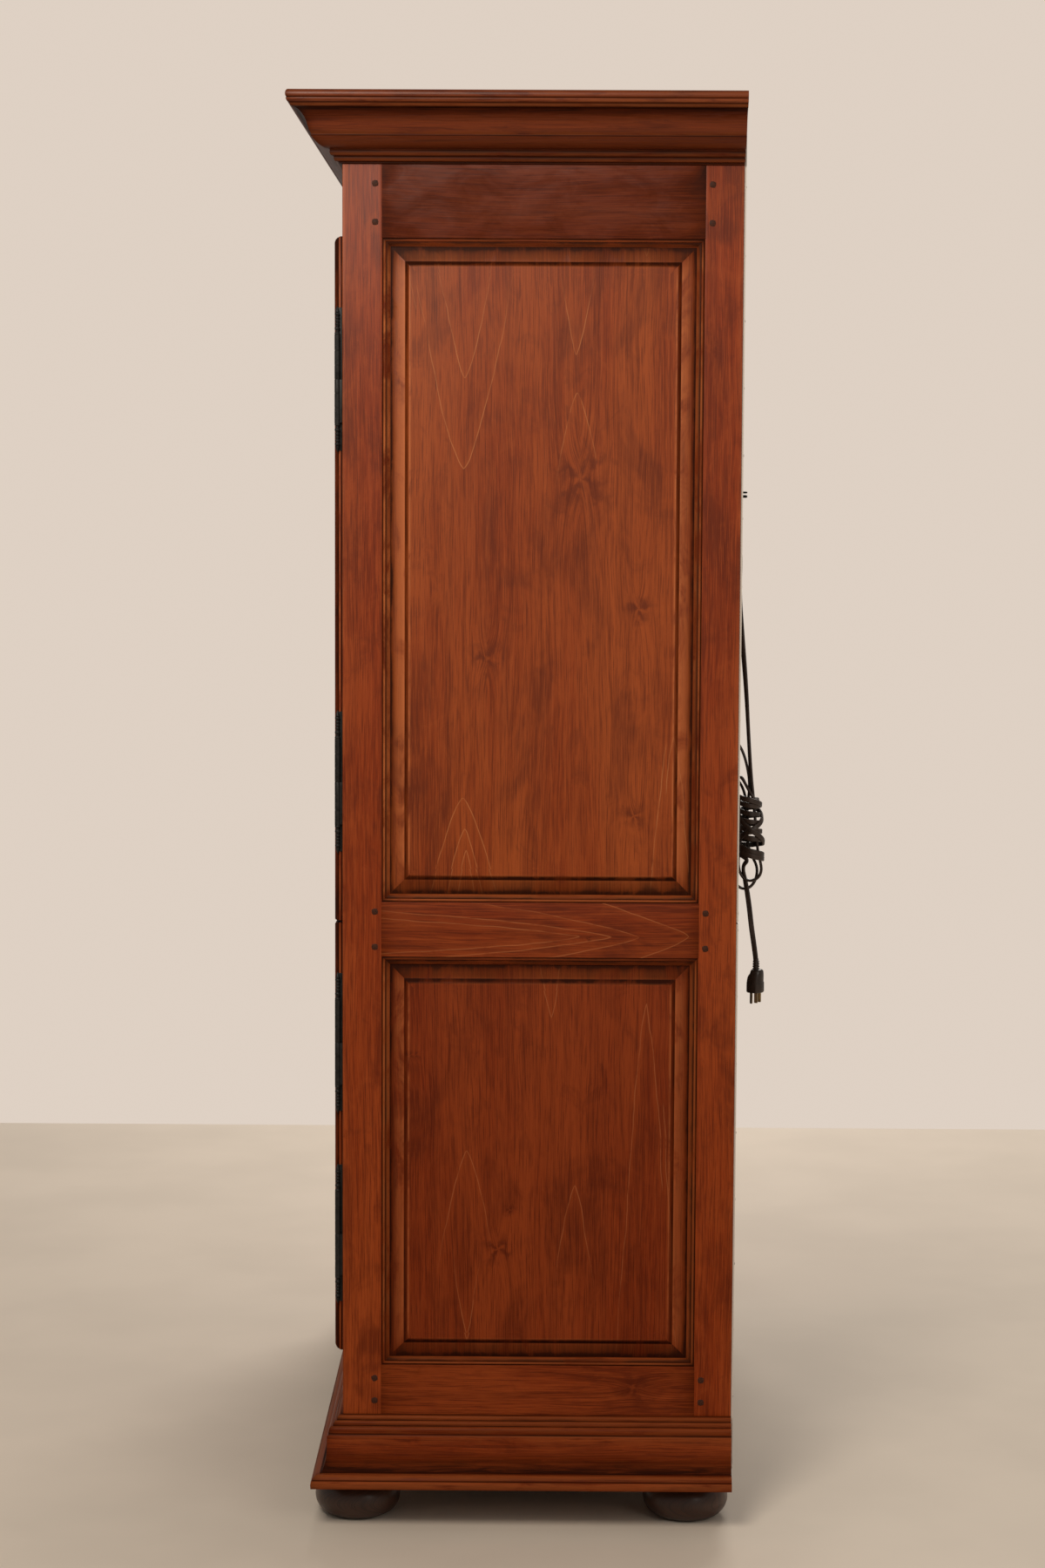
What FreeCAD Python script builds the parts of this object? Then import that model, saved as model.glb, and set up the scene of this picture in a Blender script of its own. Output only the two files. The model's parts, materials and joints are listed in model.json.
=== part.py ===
import FreeCAD, Part
import math
import os
import re
import Sketcher

# A two-tier television armoire in glazed hardwood: frame-and-panel sides, four lipped
# raised-panel doors on long finial-tipped barrel hinges, a deep coved cornice, a moulded
# base on bun feet, and a power cord that leaves the back through a bushing.
# Frame: +X to the right of somebody facing the front, the front faces -Y, +Z up.
# The origin lies on the floor under the middle of the whole outline.

V = FreeCAD.Vector
doc = FreeCAD.newDocument("TvArmoire")

SIZES = [
    # carcass
    ("carcass_width", "1220", "over the two sides"),
    ("carcass_depth", "587", "face frame to back edge of the sides"),
    ("frame_thick", "22", "stiles and rails of sides and face frame"),
    ("board_thick", "19", "top and bottom boards and adjustable shelves"),
    ("tv_shelf_thick", "25", "fixed shelf that carries the television"),
    ("back_thick", "3", "hardboard backs"),
    ("back_margin", "3", "back panels stop short of the outer edges"),
    # heights, from the floor upward
    ("foot_height", "69", "bun foot"),
    ("base_frame_thick", "18", "flat frame that the feet screw to"),
    ("base_frame_wide", "110", "boards of that frame"),
    ("floor_rise", "195", "base frame to the floor of the lower compartment"),
    ("low_opening", "623", "clear height of the lower compartment"),
    ("upper_opening", "982", "clear height of the upper compartment"),
    ("frieze_height", "199", "rail over the upper doors"),
    ("top_recess", "16", "top board lies this far below the cornice top"),
    # side frames
    ("side_front_stile", "58.5", "front stile of a side"),
    ("side_back_stile", "56.5", "back stile of a side"),
    ("side_floor_drop", "34", "lower side panel starts below the compartment floor"),
    ("side_mid_drop", "35", "lower side panel ends below its compartment's top"),
    ("side_mid_rise", "15", "upper side panel starts above the tv shelf"),
    ("side_top_rise", "11", "upper side panel ends above the upper opening"),
    # raised panels and their mouldings
    ("groove_deep", "8", "panel tongue reaches into stiles and rails"),
    ("tongue_thick", "6", "panel edge"),
    ("tongue_clear", "0.2", "play of a tongue in its groove"),
    ("stick_wide", "12", "beaded moulding round each panel"),
    ("stick_sink", "0.4", "crest of that moulding under the frame's face"),
    ("bevel_wide", "21", "flat bevel of a raised panel"),
    ("bevel_rise", "2.6", "height gained over the bevel"),
    ("cove_wide", "6.5", "steep cove between bevel and field"),
    ("cove_rise", "4.6", "height gained over the cove"),
    ("field_sink", "1.4", "raised field under the frame's face"),
    # doors
    ("lip_overlap", "14", "door lip over its opening, top and bottom"),
    ("door_gap", "4", "between upper and lower doors"),
    ("meet_gap", "3", "between the two doors of a pair"),
    ("door_thick", "22", "whole door"),
    ("lip_thick", "12", "part of the door in front of the face frame"),
    ("lip_gap", "0.5", "air behind the lip"),
    ("rabbet_clear", "1.5", "play of the door's back in its opening"),
    ("edge_round", "6.5", "rounded front edge of a door"),
    ("door_stile", "66", "stiles of a door"),
    ("door_rail", "74", "rails of a door"),
    # hinges
    ("hinge_inset", "4", "hinge axis inside the side's face"),
    ("hinge_forward", "7.8", "hinge axis in front of the face frame"),
    ("barrel_radius", "4", "hinge barrel"),
    ("knuckle_long", "63.5", "half of the barrel, one knuckle"),
    ("finial_long", "43", "turned tip at each end"),
    ("knuckle_gap", "0.2", "between the two knuckles"),
    ("pin_radius", "1.8", "hinge pin"),
    ("pin_clear", "0.05", "running clearance of the pin"),
    ("pin_reach", "52", "pin inside the upper knuckle"),
    ("edge_gap", "5.8", "hinge axis to the door's edge"),
    ("leaf_wide", "11", "hinge leaf on the wood"),
    ("leaf_thick", "1.4", "hinge leaf"),
    ("web_thick", "2.2", "web from a knuckle to its leaf"),
    ("leaf_clear", "0.1", "play of a leaf in its mortise"),
    ("upper_hinge_inset", "208", "upper door's end to the middle of a hinge"),
    ("low_hinge_inset", "180", "lower door's end to the middle of a hinge"),
    # knobs, strikes and catches
    ("knob_radius", "15", "door knob"),
    ("knob_long", "27", "knob in front of the door"),
    ("stud_radius", "2.4", "knob screw"),
    ("stud_clear", "0.1", "play of that screw"),
    ("stud_reach", "15", "knob screw inside the door"),
    ("upper_knob_rise", "262", "upper knob over the door's lower end"),
    ("low_knob_drop", "205", "lower knob under the door's upper end"),
    ("catch_wide", "40", "magnetic catch"),
    ("catch_high", "16", "magnetic catch"),
    ("catch_deep", "24", "magnetic catch"),
    ("catch_apart", "14", "catch from the middle of the cabinet"),
    ("strike_thick", "1.5", "steel plate on the door"),
    ("strike_clear", "0.2", "strike to catch"),
    # shelves
    ("shelf_side_clear", "2", "adjustable shelf to each side"),
    ("shelf_front_set", "32", "shelf behind the face frame's front"),
    ("shelf_strip_gap", "4", "shelf in front of the outlet strip"),
    ("upper_shelf_rise", "700", "upper shelf over the tv shelf"),
    ("low_shelf_rise", "300", "lower shelf over the floor board"),
    ("shelf_pin_radius", "2.5", "shelf pin"),
    ("shelf_pin_out", "9", "shelf pin under the shelf"),
    ("shelf_pin_in", "8", "shelf pin inside the stile"),
    ("shelf_pin_front", "8", "front shelf pin behind the shelf's front edge"),
    ("shelf_pin_back", "5", "back shelf pin in front of the shelf's back edge"),
    # joint pegs on the side stiles
    ("peg_radius", "4.7", "dark peg over each joint"),
    ("peg_clear", "0.05", "play of a peg in its hole"),
    ("peg_deep", "12", "peg inside the stile"),
    ("peg_proud", "0.4", "peg head over the stile"),
    ("peg_inset", "10.5", "peg from the stile's inner edge"),
    ("peg_spacing", "53", "between the two pegs of a joint"),
    # cornice, base moulding and feet
    ("cornice_out", "77", "cornice beyond the carcass"),
    ("cornice_height", "98", "cornice"),
    ("base_out", "46", "base moulding beyond the carcass"),
    ("base_height", "103", "base moulding"),
    ("foot_radius", "65", "bun foot"),
    # power fittings on the back
    ("hook_reach", "47", "cord hook behind the back panel"),
    ("hook_rise", "72", "middle of the cord hook over the bushing"),
    ("cord_side", "20", "cord left of the middle"),
    ("bushing_height", "1490", "cord bushing"),
    ("bushing_radius", "8", "bushing inside the back panel"),
    ("bushing_flange", "12", "flange of the bushing"),
    ("bushing_proud", "2", "flange behind the back panel"),
    ("cable_hole_radius", "38", "hole for signal cables"),
    ("cable_hole_side", "260", "that hole from the middle"),
    ("upper_cable_rise", "120", "upper cable hole over the tv shelf"),
    ("low_cable_rise", "180", "lower cable hole over the floor board"),
    ("strip_long", "300", "outlet strip"),
    ("strip_high", "46", "outlet strip"),
    ("strip_deep", "34", "outlet strip"),
    ("cord_radius", "4.5", "half the width of the flat cord"),
    ("relief_long", "18", "ribbed strain relief of the plug"),
    ("plug_long", "40", "body of the plug"),
    ("plug_wide", "30", "body of the plug"),
    ("plug_deep", "24", "body of the plug"),
    ("blade_long", "17.5", "flat blades of the plug"),
    ("earth_long", "20.7", "round earth pin of the plug"),
]

sheet = doc.addObject("Spreadsheet::Sheet", "Sizes")
for row, (alias, value, note) in enumerate(SIZES, 1):
    sheet.set("A%d" % row, alias)
    sheet.set("B%d" % row, value)
    sheet.set("C%d" % row, note)
    sheet.setAlias("B%d" % row, alias)
doc.recompute()

WORDS = re.compile(r"\b(" + "|".join(alias for alias, value, note in SIZES) + r")\b")


def ex(text):
    """The expression with each size read from the sheet."""
    return WORDS.sub(r"Sizes.\1", text)


def num(text):
    """The present value of an expression, in millimetres."""
    return float(sheet.evalExpression(ex(text)))


# Places that several pieces share, each worked out from the sizes above.
HALF = "(carcass_width / 2)"
INNER = "(carcass_width / 2 - frame_thick)"
FRONT = "((cornice_out - carcass_depth - back_thick - hook_reach) / 2)"
REAR = "(%s + carcass_depth)" % FRONT
BACK_FACE = "(%s + back_thick)" % REAR
CARCASS_BOTTOM = "(foot_height + base_frame_thick)"
FLOOR = "(%s + floor_rise)" % CARCASS_BOTTOM
LOWER_TOP = "(%s + low_opening)" % FLOOR
UPPER_FLOOR = "(%s + 2 * lip_overlap + door_gap)" % LOWER_TOP
UPPER_TOP = "(%s + upper_opening)" % UPPER_FLOOR
CARCASS_TOP = "(%s + frieze_height)" % UPPER_TOP
TOTAL = "(%s + top_recess)" % CARCASS_TOP
SHELF_BACK = "(strip_deep + shelf_strip_gap)"
PANEL_SET = "(field_sink + cove_rise + bevel_rise)"
SPLIT = "(%s - tv_shelf_thick / 2)" % UPPER_FLOOR
HINGE_X = "(%s - hinge_inset)" % HALF
HINGE_Y = "(%s - hinge_forward)" % FRONT
DOOR_EDGE = "(%s - edge_gap)" % HINGE_X
DOOR_FRONT = "(%s - lip_gap - lip_thick)" % FRONT
DOOR_BACK = "(%s + door_thick)" % DOOR_FRONT

PIECES = []


def bind(item, **sizes):
    for prop, text in sizes.items():
        item.setExpression(prop, ex(text))


def place(item, x, y, z):
    item.setExpression("Placement.Base.x", ex(x))
    item.setExpression("Placement.Base.y", ex(y))
    item.setExpression("Placement.Base.z", ex(z))


def box(name, at, size):
    item = doc.addObject("Part::Box", name)
    bind(item, Length=size[0], Width=size[1], Height=size[2])
    place(item, *at)
    return item


TURNS = {
    "z": FreeCAD.Rotation(),
    "x": FreeCAD.Rotation(V(0, 1, 0), 90),
    "y": FreeCAD.Rotation(V(1, 0, 0), -90),
}


def rod(name, at, radius, length, axis):
    item = doc.addObject("Part::Cylinder", name)
    item.Placement = FreeCAD.Placement(V(), TURNS[axis])
    bind(item, Radius=radius, Height=length)
    place(item, *at)
    return item


def together(name, items):
    item = doc.addObject("Part::Compound", name)
    item.Links = items
    return item


def cut(name, base, tools):
    item = doc.addObject("Part::Cut", name)
    item.Base = base
    item.Tool = tools[0] if len(tools) == 1 else together(name + "_tools", tools)
    return item


def common(name, base, tool):
    item = doc.addObject("Part::Common", name)
    item.Base = base
    item.Tool = tool
    return item


def fuse(name, items):
    item = doc.addObject("Part::MultiFuse", name)
    item.Shapes = items
    item.Refine = True
    return item


def piece(label, items):
    """One named piece of the armoire: a solid, or a set of like solids."""
    item = items[0] if len(items) == 1 else together(label, items)
    item.Label = label
    PIECES.append(item)
    return item


def other_hand(label, source, keep=True):
    """The same on the left side of the armoire."""
    item = doc.addObject("Part::Mirroring", label)
    item.Source = source
    item.Normal = V(1, 0, 0)
    if keep:
        item.Label = label
        PIECES.append(item)
    return item


def new_body(name):
    return doc.addObject("PartDesign::Body", name)


def origin_plane(body, role):
    return [f for f in body.Origin.OriginFeatures if f.Role == role][0]


def sketch(body, name, role, start, path):
    """A closed outline. path holds (u, v) for a straight run to that point, or
    (um, vm, u, v) for an arc through the first point to the second."""
    item = body.newObject("Sketcher::SketchObject", name)
    item.AttachmentSupport = [(origin_plane(body, role), "")]
    item.MapMode = "FlatFace"
    outline(item, start, path, True)
    return item


def outline(item, start, path, closed):
    here = start
    count = 0
    bulges = []
    for step in path:
        a = V(num(here[0]), num(here[1]), 0)
        b = V(num(step[-2]), num(step[-1]), 0)
        if len(step) == 2:
            item.addGeometry(Part.LineSegment(a, b), False)
        else:
            middle = V(num(step[0]), num(step[1]), 0)
            item.addGeometry(Part.Arc(a, middle, b), False)
            bulges.append((count, step[0], step[1], middle))
        here = step[-2:]
        count += 1
    # an arc drawn clockwise keeps its ends the other way round
    ends = []
    for index in range(count):
        a = path[index - 1][-2:] if index else start
        first = item.getPoint(index, 1)
        near = first.distanceToPoint(V(num(a[0]), num(a[1]), 0)) < 1e-6
        ends.append((1, 2) if near else (2, 1))
    last = count if closed else count - 1
    for index in range(last):
        after = (index + 1) % count
        item.addConstraint(Sketcher.Constraint("Coincident", index, ends[index][1], after, ends[after][0]))
    for index in range(count):
        u, v = path[index - 1][-2:] if index else start
        fix(item, index, ends[index][0], u, v)
    if not closed:
        fix(item, count - 1, ends[count - 1][1], *path[-1][-2:])
    for index, u, v, middle in bulges:
        dot = item.addGeometry(Part.Point(middle), True)
        fix(item, dot, 1, u, v)
        item.addConstraint(Sketcher.Constraint("PointOnObject", dot, 1, index))


def fix(item, geometry, end, u, v):
    for kind, text in (("DistanceX", u), ("DistanceY", v)):
        number = item.addConstraint(Sketcher.Constraint(kind, -1, 1, geometry, end, num(text)))
        item.setExpression("Constraints[%d]" % number, ex(text))


def pad(body, name, profile, length, backward=False, middle=False):
    item = body.newObject("PartDesign::Pad", name)
    item.Profile = profile
    item.Reversed = backward
    item.Midplane = middle
    bind(item, Length=length)
    return item


def trim(body, name, profile):
    """Cuts the outline away through the whole body, and makes sure that it did."""
    doc.recompute()
    before = body.Shape.Volume
    item = body.newObject("PartDesign::Pocket", name)
    item.Profile = profile
    item.Type = "ThroughAll"
    item.Midplane = True
    doc.recompute()
    if not body.Shape.Volume < before - 1:
        raise RuntimeError("%s cut nothing" % name)
    return item


def turn(body, name, profile):
    item = body.newObject("PartDesign::Revolution", name)
    item.Profile = profile
    item.ReferenceAxis = (profile, ["V_Axis"])
    item.Angle = 360
    return item


# ---------------------------------------------------------------- raised panels

def raised_panel(name, wide, tall, at, facing):
    """A panel with its tongue, flat bevel, steep cove and raised field, laid out with
    its front towards -Y from the opening's lower left corner, then turned to face."""
    items = []
    board = box(name + "_tongue", ("0", "0", "0"), (
        "%s + 2 * groove_deep" % wide, "tongue_thick", "%s + 2 * groove_deep" % tall))
    items.append((board, "-groove_deep", PANEL_SET, "-groove_deep"))
    steps = [
        # inset and depth of the wide end, inset and depth of the narrow end
        ("stick_wide", PANEL_SET,
         "stick_wide + bevel_wide", "field_sink + cove_rise"),
        ("stick_wide + bevel_wide", "field_sink + cove_rise",
         "stick_wide + bevel_wide + cove_wide * 0.62", "field_sink + cove_rise * 0.66"),
        ("stick_wide + bevel_wide + cove_wide * 0.62", "field_sink + cove_rise * 0.66",
         "stick_wide + bevel_wide + cove_wide", "field_sink"),
    ]
    for number, (inset, depth, inset2, depth2) in enumerate(steps):
        item = doc.addObject("Part::Wedge", "%s_slope%d" % (name, number))
        bind(item, Xmin=inset2, Xmax="%s - (%s)" % (wide, inset2),
             Zmin=inset2, Zmax="%s - (%s)" % (tall, inset2), Ymin="0",
             Ymax="%s - (%s)" % (depth, depth2), X2min=inset,
             X2max="%s - (%s)" % (wide, inset), Z2min=inset,
             Z2max="%s - (%s)" % (tall, inset))
        items.append((item, "0", depth2, "0"))
    for item, x, y, z in items:
        place(item, x, y, z)
    whole = fuse(name + "_solid", [item for item, x, y, z in items])
    whole.Placement = FreeCAD.Placement(V(), facing)
    place(whole, *at)
    return whole


def panel_moulding(name, wide, tall, at, facing):
    """The beaded moulding that runs round a panel, mitred at its corners."""
    body = new_body(name)
    path = body.newObject("Sketcher::SketchObject", name + "_path")
    path.AttachmentSupport = [(origin_plane(body, "XZ_Plane"), "")]
    path.MapMode = "FlatFace"
    outline(path, ("%s / 2" % wide, "0"), [
        (wide, "0"), (wide, tall), ("0", tall), ("0", "0"), ("%s / 2" % wide, "0")], True)
    section = body.newObject("Sketcher::SketchObject", name + "_section")
    section.AttachmentSupport = [(origin_plane(body, "YZ_Plane"), "")]
    section.MapMode = "FlatFace"
    section.setExpression("AttachmentOffset.Base.z", ex("%s / 2" % wide))
    deep = PANEL_SET
    outline(section, (deep, "0"), [
        ("stick_sink + 1.8", "0"),
        ("stick_sink + 1.8", "stick_wide * 0.07"),
        ("stick_sink", "stick_wide * 0.235", "stick_sink + 1.8", "stick_wide * 0.4"),
        ("stick_sink + 2.2", "stick_wide * 0.4"),
        ("stick_sink + 3.4", "stick_wide * 0.74", "stick_sink + 6.4", "stick_wide * 0.93"),
        ("stick_sink + 6.4", "stick_wide"),
        (deep, "stick_wide"),
        (deep, "0")], True)
    pipe = body.newObject("PartDesign::AdditivePipe", name + "_run")
    pipe.Profile = section
    pipe.Spine = (path, [])
    pipe.Transition = "Right corner"
    body.Placement = FreeCAD.Placement(V(), facing)
    place(body, *at)
    return body


def groove(name, wide, tall, at, facing):
    """The room that a panel's tongue takes in the frame round it."""
    play = "(groove_deep + tongue_clear)"
    item = box(name, ("0", "0", "0"), (
        "%s + 2 * %s" % (wide, play), "tongue_thick + 2 * tongue_clear",
        "%s + 2 * %s" % (tall, play)))
    item.Placement = FreeCAD.Placement(V(), facing)
    place(item, *at)
    return item


AHEAD = FreeCAD.Rotation()
TO_RIGHT = FreeCAD.Rotation(V(0, 0, 1), 90)

# ---------------------------------------------------------------- hinges

LEAF_HALF = "(knuckle_long + finial_long - 2)"

HINGE_HEIGHTS = {
    "lower": ["(%s - lip_overlap + low_hinge_inset)" % FLOOR,
              "(%s + lip_overlap - low_hinge_inset)" % LOWER_TOP],
    "upper": ["(%s - lip_overlap + upper_hinge_inset)" % UPPER_FLOOR,
              "(%s + lip_overlap - upper_hinge_inset)" % UPPER_TOP],
}


def finial(base, sign, start):
    """Outline of a turned tip from the barrel's end outward: ball, rings, ball, point."""
    steps = [
        (0.03, 1.00), (0.03, 0.86), (0.07, 1.00, 0.11, 0.80), (0.13, 0.56),
        (0.17, 0.58), (0.24, 1.00, 0.31, 0.56), (0.34, 0.56), (0.38, 0.86, 0.43, 0.54),
        (0.45, 0.54), (0.49, 0.84, 0.54, 0.54), (0.56, 0.54), (0.60, 0.84, 0.65, 0.52),
        (0.67, 0.52), (0.73, 0.95, 0.79, 0.50), (0.80, 0.70), (0.83, 0.70), (1.00, 0.10),
    ]
    path = []
    for step in steps:
        point = []
        for along, out in zip(step[0::2], step[1::2]):
            point.append("barrel_radius * %.2f" % out)
            point.append("%s(%s + finial_long * %.2f)" % (sign, start, along))
        path.append(tuple(point))
    tip = "%s(%s + finial_long)" % (sign, start)
    return path + [("0", tip)]


def upper_knuckle(name, z):
    """The half of a hinge on the door: knuckle, tip and leaf, bored for the pin."""
    body = new_body(name)
    bore = "pin_radius + pin_clear"
    profile = sketch(body, name + "_profile", "XZ_Plane", (bore, "knuckle_gap"), [
        ("barrel_radius", "knuckle_gap"), ("barrel_radius", "knuckle_long")]
        + finial("barrel_radius", "", "knuckle_long")
        + [("0", "pin_reach + 1"), (bore, "pin_reach + 1"), (bore, "knuckle_gap")])
    turn(body, name + "_turned", profile)
    back = "(hinge_forward - lip_gap)"
    away = "(edge_gap - leaf_thick)"
    leaf = sketch(body, name + "_leaf", "XY_Plane", ("-(edge_gap + leaf_wide)", back), [
        ("-(edge_gap + leaf_wide)", back + " - leaf_thick"),
        ("-edge_gap", back + " - leaf_thick"),
        ("-edge_gap", "-web_thick / 2"), ("-" + away, "-web_thick / 2"),
        ("-" + away, back), ("-(edge_gap + leaf_wide)", back)])
    pad(body, name + "_plate", leaf, "2 * %s" % LEAF_HALF, middle=True)
    web = sketch(body, name + "_web", "XY_Plane",
                 ("-(edge_gap - leaf_thick / 2)", "-web_thick / 2"), [
        ("-barrel_radius * 0.7", "-web_thick / 2"), ("-barrel_radius * 0.7", "web_thick / 2"),
        ("-(edge_gap - leaf_thick / 2)", "web_thick / 2"),
        ("-(edge_gap - leaf_thick / 2)", "-web_thick / 2")])
    web.setExpression("AttachmentOffset.Base.z", ex("knuckle_gap + 0.3"))
    pad(body, name + "_bridge", web, "knuckle_long - 1")
    place(body, HINGE_X, HINGE_Y, z)
    return body


def lower_knuckle(name, z):
    """The half of a hinge on the carcass: knuckle, tip, pin and leaf."""
    body = new_body(name)
    profile = sketch(body, name + "_profile", "XZ_Plane", ("0", "pin_reach"), [
        ("pin_radius", "pin_reach"), ("pin_radius", "0"), ("barrel_radius", "0"),
        ("barrel_radius", "-knuckle_long")]
        + finial("barrel_radius", "-", "knuckle_long")
        + [("0", "pin_reach")])
    turn(body, name + "_turned", profile)
    web = sketch(body, name + "_web", "XY_Plane", ("-web_thick / 2", "barrel_radius * 0.5"), [
        ("web_thick / 2", "barrel_radius * 0.5"),
        ("web_thick / 2", "hinge_forward + leaf_thick / 2"),
        ("-web_thick / 2", "hinge_forward + leaf_thick / 2"),
        ("-web_thick / 2", "barrel_radius * 0.5")])
    web.setExpression("AttachmentOffset.Base.z", ex("-(knuckle_long - 0.5)"))
    pad(body, name + "_bridge", web, "knuckle_long - 1")
    leaf = sketch(body, name + "_leaf", "XY_Plane",
                  ("-(edge_gap + leaf_wide)", "hinge_forward"), [
        ("hinge_inset - 1", "hinge_forward"),
        ("hinge_inset - 1", "hinge_forward + leaf_thick"),
        ("-(edge_gap + leaf_wide)", "hinge_forward + leaf_thick"),
        ("-(edge_gap + leaf_wide)", "hinge_forward")])
    pad(body, name + "_plate", leaf, "2 * %s" % LEAF_HALF, middle=True)
    place(body, HINGE_X, HINGE_Y, z)
    return body


def leaf_room(name, z, on_door):
    """The mortise of one leaf, a little larger than the leaf."""
    low = "%s - %s - leaf_clear" % (z, LEAF_HALF)
    long = "2 * (%s + leaf_clear)" % LEAF_HALF
    left = "%s - leaf_wide - leaf_clear" % DOOR_EDGE
    if on_door:
        return box(name, (left, "%s - lip_gap - leaf_thick - leaf_clear" % FRONT, low), (
            "leaf_wide + edge_gap", "leaf_thick + lip_gap", long))
    return box(name, (left, "%s - leaf_clear" % FRONT, low), (
        "leaf_wide + edge_gap + hinge_inset - 1 + 2 * leaf_clear",
        "leaf_thick + 2 * leaf_clear", long))


# ---------------------------------------------------------------- sides

LOW_PANEL = ("(%s - side_floor_drop)" % FLOOR, "(%s - side_mid_drop)" % LOWER_TOP)
HIGH_PANEL = ("(%s + side_mid_rise)" % UPPER_FLOOR, "(%s + side_top_rise)" % UPPER_TOP)
SIDE_WIDE = "(carcass_depth - side_front_stile - side_back_stile)"
SIDE_Y = "(%s + side_front_stile)" % FRONT

side_grooves = []
for tier, (low, high) in (("lower", LOW_PANEL), ("upper", HIGH_PANEL)):
    tall = "(%s - %s)" % (high, low)
    at = (HALF, SIDE_Y, low)
    panel = raised_panel("right_side_%s_panel" % tier, SIDE_WIDE, tall, at, TO_RIGHT)
    piece("right_side_%s_panel" % tier, [panel])
    side_grooves.append(groove("side_%s_groove" % tier, SIDE_WIDE, tall, (
        "%s - %s + tongue_clear" % (HALF, PANEL_SET),
        "%s - groove_deep - tongue_clear" % SIDE_Y,
        "%s - groove_deep - tongue_clear" % low), TO_RIGHT))

mouldings = [
    panel_moulding("right_side_%s_moulding" % tier, SIDE_WIDE, "(%s - %s)" % (high, low),
                   (HALF, SIDE_Y, low), TO_RIGHT)
    for tier, (low, high) in (("lower", LOW_PANEL), ("upper", HIGH_PANEL))]
piece("right_side_panel_mouldings", mouldings)

# pegs: two over each joint of a rail, near the rail's edges
JOINTS = [
    "((foot_height + base_height + %s) / 2)" % LOW_PANEL[0],
    "((%s + %s) / 2)" % (LOW_PANEL[1], HIGH_PANEL[0]),
    "(%s + (%s - cornice_height - %s) * 0.48)" % (HIGH_PANEL[1], TOTAL, HIGH_PANEL[1]),
]
SHIFT = ["0.325", "0.5", "0.525"]
pegs = []
peg_rooms = {"front": [], "back": []}
for stile, y in (("front", "%s + side_front_stile - peg_inset" % FRONT),
                 ("back", "%s - side_back_stile + peg_inset" % REAR)):
    for number, (middle, share) in enumerate(zip(JOINTS, SHIFT)):
        for sign in ("-", "+"):
            z = "%s %s peg_spacing * %s" % (middle, sign, share)
            name = "peg_%s_%d_%s" % (stile, number, "low" if sign == "-" else "high")
            pegs.append(rod(name, ("%s - peg_deep" % HALF, y, z),
                            "peg_radius", "peg_deep + peg_proud", "x"))
            peg_rooms[stile].append(rod(
                name + "_hole", ("%s - peg_deep - peg_clear" % HALF, y, z),
                "peg_radius + peg_clear", "peg_deep + 5", "x"))
pegs_right = together("pegs_right", pegs)
piece("joint_pegs", [pegs_right, other_hand("pegs_left", pegs_right, False)])

# shelf pins: one under each corner of an adjustable shelf
SHELVES = {
    "lower": "(%s + low_shelf_rise)" % FLOOR,
    "upper": "(%s + upper_shelf_rise)" % UPPER_FLOOR,
}
shelf_pins = []
pin_rooms = {"front": [], "back": []}
for tier, z in SHELVES.items():
    for stile, y in (("front", "%s + shelf_front_set + shelf_pin_front" % FRONT),
                     ("back", "%s - %s - shelf_pin_back" % (REAR, SHELF_BACK))):
        at_z = "%s - shelf_pin_radius" % z
        shelf_pins.append(rod("pin_%s_%s" % (tier, stile), (
            "%s - shelf_pin_out" % INNER, y, at_z),
            "shelf_pin_radius", "shelf_pin_out + shelf_pin_in", "x"))
        pin_rooms[stile].append(rod("pin_%s_%s_hole" % (tier, stile), (
            "%s - 1" % INNER, y, at_z), "shelf_pin_radius + peg_clear",
            "1 + shelf_pin_in + peg_clear", "x"))
pins_right = together("shelf_pins_right", shelf_pins)
piece("shelf_pins", [pins_right, other_hand("shelf_pins_left", pins_right, False)])

SIDE_TALL = "%s - %s" % (CARCASS_TOP, CARCASS_BOTTOM)
front_stile = box("side_front_stile_board", (INNER, FRONT, CARCASS_BOTTOM),
                  ("frame_thick", "side_front_stile", SIDE_TALL))
back_stile = box("side_back_stile_board", (INNER, "%s - side_back_stile" % REAR, CARCASS_BOTTOM),
                 ("frame_thick", "side_back_stile", SIDE_TALL))
frame_leaf_rooms = [
    leaf_room("frame_leaf_room_%s_%d" % (tier, number), z, False)
    for tier, heights in HINGE_HEIGHTS.items() for number, z in enumerate(heights)]
stiles = [
    cut("side_front_stile_cut", front_stile,
        side_grooves + peg_rooms["front"] + pin_rooms["front"] + frame_leaf_rooms),
    cut("side_back_stile_cut", back_stile,
        side_grooves + peg_rooms["back"] + pin_rooms["back"]),
]
piece("right_side_stiles", stiles)

rails = []
for name, low, high in (("bottom", CARCASS_BOTTOM, LOW_PANEL[0]),
                        ("middle", LOW_PANEL[1], HIGH_PANEL[0]),
                        ("top", HIGH_PANEL[1], CARCASS_TOP)):
    board = box("side_%s_rail_board" % name, (INNER, SIDE_Y, low),
                ("frame_thick", SIDE_WIDE, "%s - %s" % (high, low)))
    rails.append(cut("side_%s_rail_cut" % name, board, side_grooves))
piece("right_side_rails", rails)

# ---------------------------------------------------------------- face frame and boards

RAIL_LONG = "2 * %s" % INNER
piece("frieze_rail", [box("frieze_rail_board", ("-%s" % INNER, FRONT, UPPER_TOP), (
    RAIL_LONG, "frame_thick", "frieze_height"))])
piece("middle_rail", [box("middle_rail_board", ("-%s" % INNER, FRONT, LOWER_TOP), (
    RAIL_LONG, "frame_thick", "2 * lip_overlap + door_gap"))])
piece("bottom_rail", [box("bottom_rail_board", ("-%s" % INNER, FRONT, CARCASS_BOTTOM), (
    RAIL_LONG, "frame_thick", "floor_rise"))])

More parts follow.
